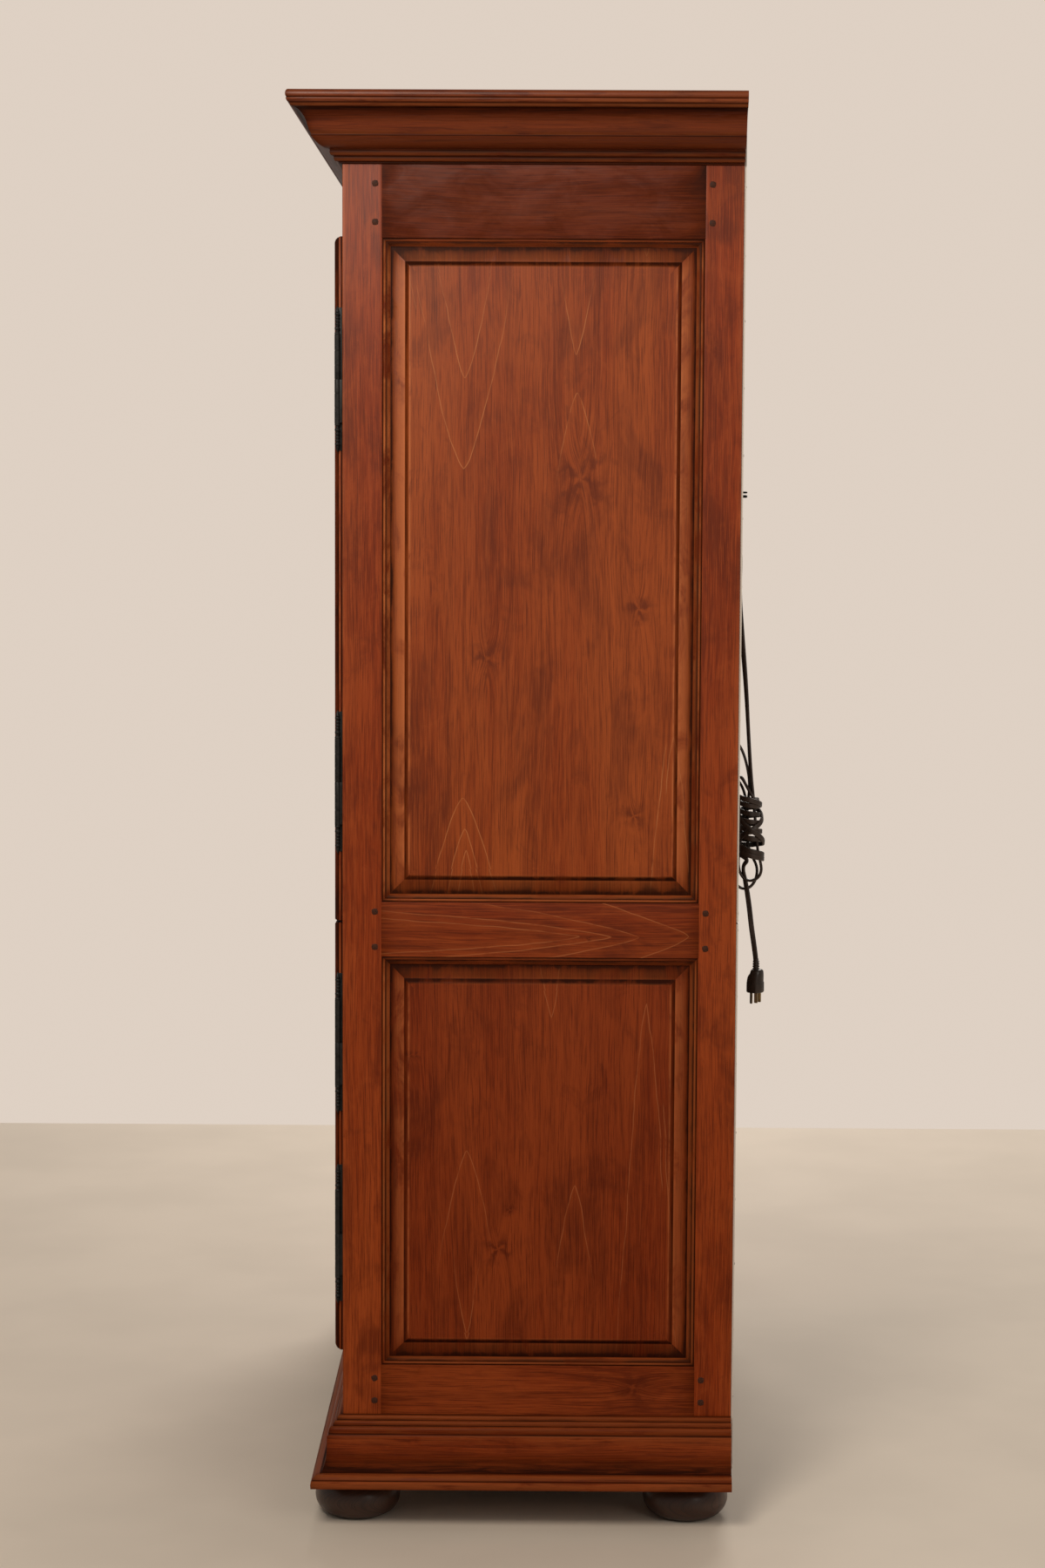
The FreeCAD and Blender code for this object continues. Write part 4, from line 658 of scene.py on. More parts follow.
def mitred(piece, to_space, rect, section, grain, stations_u, stations_v, closed=False,
           fill=False, seed=0.0, corner=0.55, ends=0.0, rubs=(1, 1, 1, 1), stain=None):
    """A section carried round a rectangle. rect is (u0, u1, v0, v1). Each point of the
    section is (left, right, bottom, top insets, depth, glaze and painted shade, wear and painted
    highlight).
    grain(u, v, side) is True where the grain runs along v; ends is the darker stain where it is cut
    across, and the four side shares say how strong the wear and painted highlights are on the
    bottom, right, top and left sides, as the light falls on them."""
    rings = []
    unrolled = section[0][0]
    before = section[0]
    for point in section:
        left, right, bottom, top, depth, glaze, worn = point
        if rings:
            unrolled -= math.copysign(math.hypot(left - before[0], depth - before[4]),
                                      (before[0] - left) or (depth - before[4]) or 1)
        before = point
        u0, u1, v0, v1 = rect[0] + left, rect[1] - right, rect[2] + bottom, rect[3] - top
        us = [u0] + [min(max(s, u0), u1) for s in stations_u] + [u1]
        vs = [v0] + [min(max(s, v0), v1) for s in stations_v] + [v1]
        out_u0, out_u1 = rect[0] + unrolled, rect[1] - unrolled
        out_v0, out_v1 = rect[2] + unrolled, rect[3] - unrolled
        ring = []
        for rubbed, side, points in zip(rubs, ("bottom", "right", "top", "left"), (
                [(u, v0, u, out_v0) for u in us], [(u1, v, out_u1, v) for v in vs],
                [(u, v1, u, out_v1) for u in reversed(us)],
                [(u0, v, out_u0, v) for v in reversed(vs)])):
            run = []
            for u, v, map_u, map_v in points:
                near = corner_darkening(math.hypot(min(u - u0, u1 - u), min(v - v0, v1 - v)))
                glaze_and_shade_here = min(1.0, glaze + corner * (0.25 + glaze) * near
                           + (ends if side in ("bottom", "top") and left < 0.041 else 0.0))
                run.append((to_space(u, v, depth), (map_u, map_v), glaze_and_shade_here,
                            min(1.0, worn * rubbed * (1 - 0.8 * near)), (u, v)))
            ring.append((side, run))
        rings.append(ring)

    def mapped(u, v, upright):
        return ((v + seed, u + seed * 0.37) if upright
                else (u + seed * 1.7, v + seed * 0.61))
    pairs = list(zip(rings, rings[1:])) + ([(rings[-1], rings[0])] if closed else [])
    for number, (ring, after) in enumerate(pairs):
        wrapping = number == len(rings) - 1
        for (side, run), (_, run2) in zip(ring, after):
            for corners in zip(run, run[1:], run2[1:], run2):
                upright = grain(*(sum(c[4][a] for c in corners) / 4 for a in (0, 1)), side)
                piece.face([c[0] for c in corners],
                           [mapped(*c[4 if wrapping else 1], upright) for c in corners],
                           [min(1.0, c[2] + (stain(*c[4], upright) if stain else 0))
                            for c in corners], [c[3] for c in corners])
    if fill:
        outline = [c for side, run in rings[-1] for c in run[:-1]]
        upright = grain((rect[0] + rect[1]) / 2, (rect[2] + rect[3]) / 2, "field")
        piece.face([c[0] for c in outline], [mapped(*c[4], upright) for c in outline])


def even(inset, depth, glaze=0.0, worn=0.0):
    """A point of a section that is set in by the same millimetres on all four sides."""
    return (*(inset * MM,) * 4, depth * MM, glaze, worn)


def turned(piece, at, axis, section, sides=28, slot=0, seed=0.0):
    """A turned shape: section is (radius, height, glaze) in millimetres along an axis."""
    axis = Vector(axis).normalized()
    first = axis.orthogonal().normalized()
    second = axis.cross(first)
    rings = []
    for radius, height, *glaze in section:
        radius, height = radius * MM, height * MM
        ring = []
        for k in range(sides + 1):
            angle = 2 * math.pi * (k % sides) / sides
            out = first * math.cos(angle) + second * math.sin(angle)
            ring.append((Vector(at) + axis * height + out * radius,
                         (height + seed, (k / sides) * 2 * math.pi * radius * 0.6 + seed),
                         glaze[0] if glaze else 0.0, 0.0))
        rings.append(ring)
    for ring, after in zip(rings, rings[1:]):
        piece.strip(ring, after, slot)


def through(first, middle, last, steps):
    """Points on the circle arc from first through middle to last, without the first."""
    (ax, ay), (bx, by), (cx, cy) = first, middle, last
    d = 2 * (ax * (by - cy) + bx * (cy - ay) + cx * (ay - by))
    ux = ((ax**2 + ay**2) * (by - cy) + (bx**2 + by**2) * (cy - ay)
          + (cx**2 + cy**2) * (ay - by)) / d
    uy = ((ax**2 + ay**2) * (cx - bx) + (bx**2 + by**2) * (ax - cx)
          + (cx**2 + cy**2) * (bx - ax)) / d
    radius = math.hypot(ax - ux, ay - uy)
    a0 = math.atan2(ay - uy, ax - ux)
    a1 = math.atan2(by - uy, bx - ux)
    a2 = math.atan2(cy - uy, cx - ux)
    sweep = (a2 - a0) % (2 * math.pi)
    if (a1 - a0) % (2 * math.pi) > sweep:
        sweep -= 2 * math.pi
    return [(ux + radius * math.cos(a0 + sweep * k / steps),
             uy + radius * math.sin(a0 + sweep * k / steps)) for k in range(1, steps + 1)]


def traced(steps, start, fine=6):
    """A section's outline: straight runs and arcs through a middle point. Each step is
    (u, v, glaze, worn) or (um, vm, u, v, glaze, worn)."""
    points = [start]
    for step in steps:
        here, (glaze_and_shade_here, wear_and_highlight_before) = points[-1][:2], points[-1][2:]
        glaze, worn = step[-2:]
        if len(step) == 4:
            points.append(step)
            continue
        for k, (u, v) in enumerate(through(here, step[0:2], step[2:4], fine), 1):
            # along an arc the wear rises to double at its middle: a painted highlight on the crest
            share = k / fine
            points.append((u, v, glaze_and_shade_here * (1 - share) + glaze * share,
                           max(wear_and_highlight_before * (1 - share) + worn * share, 0)
                           * (1 + math.sin(math.pi * share))))
    return points


def part_group(name, *sizes):
    """A node group that lays a repeated part; each size is (name, about, value). It gives
    the tree, its points, the sockets of the sizes and the values of the modifier."""
    tree = bpy.data.node_groups.new(name, "GeometryNodeTree")
    for in_out in ("INPUT", "OUTPUT"):
        tree.interface.new_socket("Geometry", in_out=in_out, socket_type="NodeSocketGeometry")
    values = {}
    for label, about, value in sizes:
        socket = tree.interface.new_socket(label, in_out="INPUT", socket_type="NodeSocketFloat")
        socket.default_value, socket.description, socket.subtype = value, about, "DISTANCE"
        values[socket.identifier] = value
    t = Tree(tree)
    points = t.add("NodeGroupInput")
    return t, points, t.last.outputs[1:len(sizes) + 1], values


def laid(t, values, host_mesh, points, part, material=None, **more):
    """Ends the group with the part on each point, made real, in its finish; then gives the
    plain mesh that the group makes of the host mesh."""
    rows = t.add("GeometryNodeInstanceOnPoints", {"Points": points, "Instance": part, **more})
    real = t.add("GeometryNodeRealizeInstances", {"Geometry": rows})
    if material:
        real = t.add("GeometryNodeSetMaterial", {"Geometry": real, "Material": material})
    t.add("NodeGroupOutput", (real,))
    host = bpy.data.objects.new("host", host_mesh)
    bpy.context.scene.collection.objects.link(host)
    modifier = host.modifiers.new("grow", "NODES")
    modifier.node_group = t.tree
    for identifier, value in values.items():
        modifier[identifier] = value
    bpy.context.view_layer.update()
    graph = bpy.context.evaluated_depsgraph_get()
    result = bpy.data.meshes.new_from_object(host.evaluated_get(graph))
    host.modifiers.clear()
    bpy.data.objects.remove(host)
    return result


def host_of(name, places, edges=()):
    """Points, and lines between them, for a node group to lay parts on."""
    mesh = bpy.data.meshes.new(name)
    mesh.from_pydata(places, edges, [])
    return mesh


# ---------------------------------------------------------------- the case


def side_place(hand):
    """Map of a side: along the depth, up, and inward from its outer face."""
    return lambda u, v, depth: (hand * (HALF - depth), u, v)


def rail_stain_and_shadow(low_end, high_end, overall):
    """Rails are smudged dark where they meet the stiles, and darker all over; on the top one that
    is painted shadow of the cornice.
    """
    def stain(p):
        near = max(min(p.y - low_end, high_end - p.y), 0) / MM
        return overall + 0.20 * math.exp(-near / 12) + 0.16 * math.exp(-near / 40), 0.0
    return stain


def stile_stain_shadow_and_highlight(p):
    near = min(abs(p.y - SIDE_FRONT), abs(p.y - SIDE_BACK))
    edge = min(abs(p.y - FRONT), abs(p.y - REAR))
    # painted shadow of the cornice, darkening the top of the stiles
    top = 0.58 * math.exp(-(CARCASS_TOP - p.z) / (60 * MM))
    # wear and a painted highlight along the stiles' rounded front and back edges
    return 0.06 * math.exp(-near / (3 * MM)) + top, 0.35 * math.exp(-edge / (3 * MM))


def make_side(hand, wood):
    """Stiles and rails of one side, each a board of its own, with pinned corners."""
    side = "right" if hand > 0 else "left"
    x0, x1 = sorted((hand * INNER, hand * HALF))
    piece = Piece(f"{side} side frame")
    for number, (y0, y1) in enumerate(((FRONT, SIDE_FRONT), (SIDE_BACK, REAR))):
        board(piece, (x0, y0, CARCASS_BOTTOM), (x1, y1, CARCASS_TOP), 2, wood.edge_soft, 0,
              seed=3.7 * number + 2.2 * hand + 6, stain=stile_stain_shadow_and_highlight,
              cuts=((), (y0 + 4 * MM, y0 + 9 * MM, (y0 + y1) / 2, y1 - 9 * MM, y1 - 4 * MM),
                    [CARCASS_TOP - d * MM for d in (25, 55, 95, 150, 240)]))
    cover = 0.8 * wood.edge_soft  # the rails close over the stiles' rounded edges
    # the top rail's extra darkness is painted shadow of the cornice
    for number, (z0, z1, darker) in enumerate((
            (CARCASS_BOTTOM, LOWER_OPEN[0], 0.10), (LOWER_OPEN[1], UPPER_OPEN[0], 0.06),
            (UPPER_OPEN[1], CARCASS_TOP, 0.34))):
        start = RAIL_STARTS[number] + (0 if hand > 0 else 2.6)
        board(piece, (x0, SIDE_FRONT - cover, z0), (x1, SIDE_BACK + cover, z1), 1,
              wood.bead_soft, 2 if number == 2 else 1, seed=start,
              stain=rail_stain_and_shadow(SIDE_FRONT, SIDE_BACK, darker),
              cuts=((), spread_stations(SIDE_FRONT, SIDE_BACK, 4, 9, 16, 26, 45, 90), ()),
              axis_at=(z0 + z1) / 2 + start * 0.37)
    # the top rail's darker tones are painted shadow of the cornice
    woods = (finish("side stile wood", glazed_wood, wood_tones(1.12), 2.0, (), STILE_ARCHES, 0.9,
                    1.2),
             finish("side rail wood", glazed_wood, wood_tones(1.0), 31.0, RAIL_KNOTS,
                    RAIL_ARCHES, 1.3, 1.1),
             finish("top rail wood", glazed_wood, wood_tones(0.70), 31.0, (), (), 0.8, 0.5))
    piece.make(woods, "carcass", (f"{side}_side_stiles", f"{side}_side_rails"), "frame_wood")
    beads = Piece(f"{side} side beads")
    for level, (z0, z1) in (("upper", UPPER_OPEN), ("lower", LOWER_OPEN)):
        rect = (SIDE_FRONT, SIDE_BACK, z0, z1)
        make_panel(f"{side} side {level} panel", side_place(hand), rect, "carcass",
                   f"{side}_side_{level}_panel", level)
        add_bead(beads, side_place(hand), rect)
    beads.make((bead_wood(),), "carcass", (f"{side}_side_panel_mouldings",), "moulding_wood", 26)


def bead_wood():
    return finish("bead wood", glazed_wood, wood_tones(1.1), 17.0, (), (), 1.1)


def add_bead(piece, to_space, rect):
    """The small moulding round a panel: a narrow bead, a groove, a wide bead and a step."""
    # the outline is (depth, inset) in mm; its two arcs carry painted highlights on their crests,
    # and the full glaze in its quirk and groove is painted shade as well
    outline = traced([
        (2.2, 0, 0.85, 0), (2.2, 0.84, 1.0, 0), (0.4, 2.82, 2.2, 4.8, 0.15, 0.75),
        (2.6, 4.8, 1.0, 0), (3.8, 8.88, 6.8, 11.16, 0.25, 0.55), (6.8, 12, 0.9, 0),
        (8.6, 12, 1.0, 0)], (8.6, 0, 0.6, 0.0), 7)
    # the side shares give the left and right beads stronger painted highlights than the top and
    # bottom ones, as the light falls
    mitred(piece, to_space, rect,
           [even(v, u, min(g, 1.0), min(0.8 * w, 1.0)) for u, v, g, w in outline],
           lambda u, v, side: side in ("left", "right"),
           spread_stations(*rect[:2], 12, 20, 34, 60, 120),
           spread_stations(*rect[2:], 12, 20, 34, 60, 120, 240),
           closed=True, seed=rect[2] * 3 + 1.1, corner=0.35, rubs=(0.7, 0.8, 0.2, 1.5))


# a raised panel's section: groove, wide bevel, step and field, as inset and depth in mm,
# glaze (with painted shade in the groove and steep cove), wear (with painted highlights on the
# bevel's edge and the field's arris)
PANEL_SECTION = (
    (11.9, 8.6, 1.0, 0), (12.6, 8.53, 1.0, 0), (15, 8.24, 0.6, 0), (19, 7.73, 0.28, 0.2),
    (24, 7.12, 0.18, 0.5), (29, 6.5, 0.12, 0.6), (31.6, 6.18, 0.06, 0.8), (32.6, 6.05, 0.05, 1.0),
    (33.2, 5.97, 0.35, 0.3), (33.8, 5.7, 0.62, 0), (34.6, 4.95, 0.58, 0), (35.8, 3.95, 0.50, 0),
    (36.8, 3.15, 0.42, 0), (37.8, 2.3, 0.34, 0), (38.8, 1.75, 0.26, 0.2), (39.5, 1.45, 0.12, 0.7),
    (40.3, 1.40, 0.05, 1.0), (41.2, 1.40, 0.03, 0.4), (43, 1.40, 0.02, 0), (50, 1.40, 0, 0))
PANEL_BACK = 14.6  # depth of a panel's back face in mm


def make_panel(name, to_space, rect, body, node, kind):
    """A raised panel: tongue in the groove, flat, wide bevel, step and field."""
    section = [even(-TONGUE / MM, PANEL_BACK, 0.4), even(-TONGUE / MM, 8.6, 0.4)]
    section += [even(*point) for point in PANEL_SECTION]
    piece = Piece(name)
    us = spread_stations(*rect[:2], 12, 20, 33, 42, 55, 80)
    vs = spread_stations(*rect[2:], 12, 20, 33, 42, 55, 80, 160)
    # on a side the grain stays where its own height puts it, so the figure can be placed
    seed = 7.3 + rect[2] + rect[0] if body != "carcass" else 0.0 if "right" in node else 3.1
    # painted highlights on the arrises are strongest on the left and right sides, as the light
    # falls
    mitred(piece, to_space, rect, section, lambda u, v, side: True, us, vs, fill=True,
           seed=seed, corner=0.4, ends=0.42, rubs=(0.3, 1.0, 0.25, 1.15))
    # the back of the panel
    edge_us = [rect[0] - TONGUE] + us + [rect[1] + TONGUE]
    edge_vs = [rect[2] - TONGUE] + vs + [rect[3] + TONGUE]
    rim = ([(u, edge_vs[0]) for u in edge_us[:-1]] + [(edge_us[-1], v) for v in edge_vs[:-1]]
           + [(u, edge_vs[-1]) for u in reversed(edge_us[1:])]
           + [(edge_us[0], v) for v in reversed(edge_vs[1:])])
    piece.face([to_space(u, v, PANEL_BACK * MM) for u, v in rim], [(v, u) for u, v in rim])
    look = {"upper": (wood_tones(1.1, 0.9), 5.0, UPPER_KNOTS, UPPER_ARCHES),
            "lower": (wood_tones(0.84, 1.08), 43.0, LOWER_KNOTS, LOWER_ARCHES)}[kind]
    piece.make((finish(f"{kind} panel wood", glazed_wood, *look, 0.9),), body, (node,),
               "panel_wood", 24)


def wrap_moulding(name, nodes, section, z_of, out_of, wood, seed=0.0, rubbed=0.55):
    """A moulding carried round the right side, the front and the left side. section is
    (out, height, glaze, wear), the glaze partly painted shade and the wear partly painted
    highlight; it ends square at the back edge of the sides."""
    piece = Piece(name)
    rings = []
    runs = 0.0
    before = section[0]
    for out, height, glaze, worn in section:
        glaze, worn = min(glaze, 1), min(worn, 1)
        runs += math.hypot(out - before[0], height - before[1])
        before = (out, height)
        x, y, z = HALF + out_of * out, FRONT - out_of * out, z_of(height)
        corners = [(x, REAR), (x, y), (-x, y), (-x, REAR)]
        ring = []
        for leg, ((x0, y0), (x1, y1)) in enumerate(zip(corners, corners[1:])):
            far = math.hypot(x1 - x0, y1 - y0)
            spots = {0.0, far}
            for d in (8, 20, 45, 90, 180):
                spots.update((d * MM, far - d * MM))
            points = []
            for s in sorted(spots):
                share = s / far
                at_mitre = min(s if leg else 9, (far - s) if leg < 2 else 9)
                points.append(((x0 + (x1 - x0) * share, y0 + (y1 - y0) * share, z),
                               (s + 1.9 * leg + seed, runs + seed * 0.31 + 0.7 * leg),
                               min(1.0, glaze + 0.35 * math.exp(-at_mitre / (7 * MM))),
                               worn * rubbed))
            ring.append(points)
        rings.append(ring)
    for ring, after in zip(rings, rings[1:] + rings[:1]):
        for run, run2 in zip(ring, after):
            piece.strip(run, run2)
    for leg, end in ((0, 0), (2, -1)):
        cap = [ring[leg][end] for ring in rings]
        piece.face([c[0] for c in cap], [(c[0][0] * 3, c[0][2]) for c in cap], 0.25)
    piece.make((wood,), "carcass", nodes, "moulding_wood", 30)


# sections of the two mouldings: how far out and how high, as shares, glaze, wear; an arc
# has its middle point first. The full glaze in the quirks is partly painted shade, the wear on the
# crests partly painted highlight
CORNICE_OUTLINE = [
    (0.960, 0.0, 0.2, 0.4), (0.999, 0.046, 0.993, 0.098, 0.1, 0.3), (0.972, 0.110, 0.9, 0),
    (0.987, 0.122, 0.3, 0.5), (0.983, 0.150, 0.955, 0.172, 0.1, 0.5), (0.936, 0.182, 1.0, 0),
    (0.926, 0.196, 0.6, 0.6), (0.910, 0.220, 0.866, 0.236, 0.6, 0.3), (0.835, 0.240, 0.9, 0),
    (0.698, 0.335, 0.616, 0.478, 0.05, 0), (0.592, 0.546, 0.1, 0.1), (0.550, 0.603, 0.5, 0.6),
    (0.556, 0.622, 1.0, 0), (0.549, 0.634, 0.3, 0.1), (0.440, 0.726, 0.228, 0.794, 0.25, 0.15),
    (0.219, 0.812, 1.0, 0), (0.226, 0.850, 0.186, 0.884, 0.2, 0.5), (0.146, 0.898, 1.0, 0),
    (0.152, 0.934, 0.108, 0.961, 0.15, 0.6), (0.060, 0.971, 1.0, 0), (0.060, 0.984, 0.6, 0.2),
    (0.0, 1.0, 0.8, 0)]
BASE_OUTLINE = [
    (0.990, 0.0, 0.5, 0.4), (1.000, 0.050, 0.978, 0.112, 0.15, 0.9), (0.935, 0.118, 1.0, 0),
    (0.939, 0.134, 0.5, 0.7), (0.880, 0.170, 0.752, 0.190, 0.2, 0.6), (0.713, 0.192, 0.3, 0.9),
    (0.705, 0.208, 0.9, 0), (0.640, 0.218, 0.9, 0), (0.528, 0.384, 0.489, 0.563, 0.05, 0.05),
    (0.489, 0.720, 0.15, 0.5), (0.462, 0.730, 0.3, 0.9), (0.438, 0.752, 1.0, 0),
    (0.444, 0.769, 0.5, 0.2), (0.422, 0.816, 0.330, 0.852, 0.15, 0.4), (0.296, 0.860, 1.0, 0),
    (0.291, 0.874, 0.5, 0.3), (0.270, 0.903, 0.204, 0.921, 0.2, 0.5), (0.183, 0.928, 1.0, 0),
    (0.178, 0.944, 0.5, 0.3), (0.161, 0.973, 0.113, 0.990, 0.25, 0.5), (0.020, 1.0, 0.9, 0),
    (0.0, 1.0, 0.8, 0)]


def make_mouldings():
    """Cornice and base moulding, each round three sides."""
    for name, outline, fine, seed, rubbed, wood in (
            ("cornice", CORNICE_OUTLINE, 8, 4.4, 0.28,
             finish("cornice wood", glazed_wood, wood_tones(0.58), 61.0, (), (), 1.3, 1.6)),
            ("base moulding", BASE_OUTLINE, 7, 8.8, 0.55,
             finish("base wood", glazed_wood, wood_tones(0.92), 71.0, (), (), 1.3, 1.5))):
        nodes = [f"{part}_{name.replace(' ', '_')}" for part in ("front", "right", "left")]
        low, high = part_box(nodes[0])
        tall, start = high.z - low.z, low.z
        outline = traced(outline, (0.0, 0.0, 0.3, 0.0), fine)
        downward = name == "cornice"
        wrap_moulding(name, nodes, [(u, v * tall, g, w) for u, v, g, w in outline],
                      (lambda h: TOTAL - h) if downward else (lambda h: start + h),
                      high.x - HALF, wood, seed, rubbed)


def make_feet():
    """Flattened turned feet with a small collar under the base."""
    low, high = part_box("bun_feet")
    radius, tall = FOOT_RADIUS / MM, (high.z - low.z) / MM
    outline = traced([
        (0.58, 0.0, 0.9, 0), (0.60, 0.02, 0.6, 0), (0.885, 0.148, 1.0, 0.42, 0.1, 0.1),
        (0.919, 0.69, 0.70, 0.88, 0.5, 0), (0.74, 0.90, 0.6, 0.1), (0.74, 1.0, 0.8, 0),
        (0.0, 1.0, 0.8, 0)], (0.0, 0.0, 0.9, 0), 14)
    piece = Piece("bun feet")
    x = HALF - FOOT_RADIUS
    spots = [(hand * x, y) for hand in (1, -1)
             for y in (BASE_LOW.y + FOOT_RADIUS, REAR - FOOT_RADIUS)]
    for number, (x, y) in enumerate(spots):
        turned(piece, (x, y, low.z), (0, 0, 1),
               [(u * radius, v * tall, 0.55 * g) for u, v, g, w in outline], 72,
               seed=2.3 * number)
    tone = tuple(bpy.context.scene.armoire_wood.foot)
    brown = finish("foot wood", glazed_wood,
                   [scaled(tone, factor) for factor in (0.5, 1, 1.9, 2.6, 0.35, 3.0)],
                   83.0, (), (), 0.8, 0.6, 1.8)
    piece.make((brown,), "carcass", ("bun_feet",), "foot_wood", 28)


def make_pegs():
    """Square-cut dark pegs through the corners of the sides, laid by a node group."""
    t, points, (width, stands, depth), values = part_group(
        "Peg rows", ("Peg width", "Across the flats of a peg", 9.6 * MM),
        ("Proud", "How far a peg stands out of the side", 0.15 * MM),
        ("Depth", "How deep a peg goes", 11.2 * MM))
    disc = t.add("GeometryNodeMeshCircle", {"Vertices": 8, "Radius": 1.0}, fill_type="NGON")
    # eight corners pulled toward a square, so the peg's end looks whittled
    t.add("ShaderNodeSeparateXYZ", (t.add("GeometryNodeInputPosition"),))
    square = [t.times(t.math("SIGN", part), t.math("POWER", t.math("ABSOLUTE", part), 0.62))
              for part in t.last.outputs[:2]]
    disc = t.add("GeometryNodeSetPosition", {"Geometry": disc,
                                             "Position": t.vector(*square, 0.0)})
    up = {"Offset": t.vector(0.0, 0.0, 1.0), "Individual": False}
    pillar = t.add("GeometryNodeExtrudeMesh", {"Mesh": disc, "Offset Scale": 1.0, **up})
    top = t.last.outputs["Top"]
    dome = t.add("GeometryNodeExtrudeMesh", {"Mesh": pillar, "Selection": top,
                                             "Offset Scale": 0.03, **up})
    crown = t.last.outputs["Top"]
    domed = t.add("GeometryNodeScaleElements", {"Geometry": dome, "Selection": crown,
                                                "Scale": 0.84}, domain="FACE")
    bottom = t.add("GeometryNodeFlipFaces", {"Mesh": disc})
    whole = t.add("GeometryNodeMergeByDistance", {"Geometry": t.joined(domed, bottom),
                                                  "Distance": 1e-4})
    half = t.times(width, 0.5)
    sized = t.add("GeometryNodeTransform", {
        "Geometry": whole, "Scale": t.vector(half, half, t.plus(stands, depth)),
        "Translation": t.vector(0.0, 0.0, t.times(depth, -1.0))})
    facing = t.add("GeometryNodeInputNamedAttribute", {"Name": "facing"},
                   data_type="FLOAT_VECTOR")
    facing = t.add("FunctionNodeAlignRotationToVector", {"Vector": facing}, axis="Z",
                   pivot_axis="Y")
    number = t.add("GeometryNodeInputIndex")
    twist = t.add("FunctionNodeRandomValue", {2: -0.35, 3: 0.35, "ID": number, "Seed": 5}, 1,
                  data_type="FLOAT")
    spun = t.add("FunctionNodeRotateRotation",
                 {"Rotation": facing, "Rotate By": t.vector(0.0, 0.0, twist)},
                 rotation_space="LOCAL")
    low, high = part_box("joint_pegs")
    spots = [(hand * HALF, y, z) for hand in (1, -1)
             for y in (low.y + PEG_REACH, high.y - PEG_REACH) for z in PEG_HEIGHTS]
    places = host_of("peg places", spots)
    layer = places.attributes.new("facing", "FLOAT_VECTOR", "POINT")
    layer.data.foreach_set("vector", [c for x, y, z in spots
                                      for c in (math.copysign(1.0, x), 0.0, 0.0)])
    dark = finish("peg wood", peg_wood)
    mesh = laid(t, values, places, points, sized, dark, Rotation=spun)
    settle("joint pegs", mesh, (dark,), "carcass", ("joint_pegs",), 35)


def peg_wood(name):
    t = Finish(name)
    stretched = t.add("ShaderNodeVectorMath", {0: t.place(), 1: (260.0, 900.0, 900.0)},
                      operation="MULTIPLY")
    grain = t.noise(stretched, 1.0, 4.0, 0.65)
    return t.done(base=t.blend(t.between(grain, 0.36, 0.66), (0.018, 0.0062, 0.0036),
                               (0.074, 0.0215, 0.0090)),
                  rough=t.between(grain, 0.3, 0.7, 0.5, 0.7), specular=0.15,
                  normal=t.bumped(grain, 0.25, 0.2 * MM))


def make_front_frame(wood):
    """Frieze, middle and bottom rail of the front, between the sides."""
    rail = finish("front rail wood", glazed_wood, wood_tones(0.95), 91.0)
    for number, node in enumerate(("frieze_rail", "middle_rail", "bottom_rail")):
        low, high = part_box(node)
        piece = Piece(node.replace("_", " "))
        board(piece, low, high, 0, wood.bead_soft, 0, seed=2.9 * number,
              stain=lambda p: (0.8 * math.exp(-max(min(p.x - low.x, high.x - p.x), 0)
                                              / (9 * MM)), 0.0),
              cuts=(spread_stations(low.x, high.x, 5, 12, 25, 60), (), ()))
        piece.make((rail,), "carcass", (node,), "frame_wood")


def make_inside(wood):
    """Boards, shelves and the frame under the floor of the case."""
    inner = finish("inside wood", clear_wood, tuple(wood.inner))
    for number, node in enumerate(("top_board", "tv_shelf", "floor_board",
                                   "upper_adjustable_shelf", "lower_adjustable_shelf")):
        low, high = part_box(node)
        piece = Piece(node.replace("_", " "))
        board(piece, low, high, 0, wood.edge_soft * (2.2 if "shelf" in node else 1), 0,
              seed=1.7 * number + 3,
              stain=lambda p: (0.5 * math.exp(-max(high.y - p.y, 0) / (20 * MM)), 0.0))
        piece.make((inner,), "carcass", (node,), "inner_wood")
    low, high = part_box("base_frame")
    piece = Piece("base frame")
    wide = 110 * MM
    front, back = low.y + wide, high.y - wide
    for number, (x0, y0, x1, y1, along) in enumerate((
            (low.x, low.y, high.x, front, 0), (low.x, back, high.x, high.y, 0),
            (low.x, front, low.x + wide, back, 1), (high.x - wide, front, high.x, back, 1))):
        board(piece, (x0, y0, low.z), (x1, y1, high.z), along, 0.6 * MM, 0, seed=1.1 * number)
    piece.make((inner,), "carcass", ("base_frame",), "inner_wood")
    for node in BACK_BOARDS:
        repaint(node, finish("back board", pressed_board))


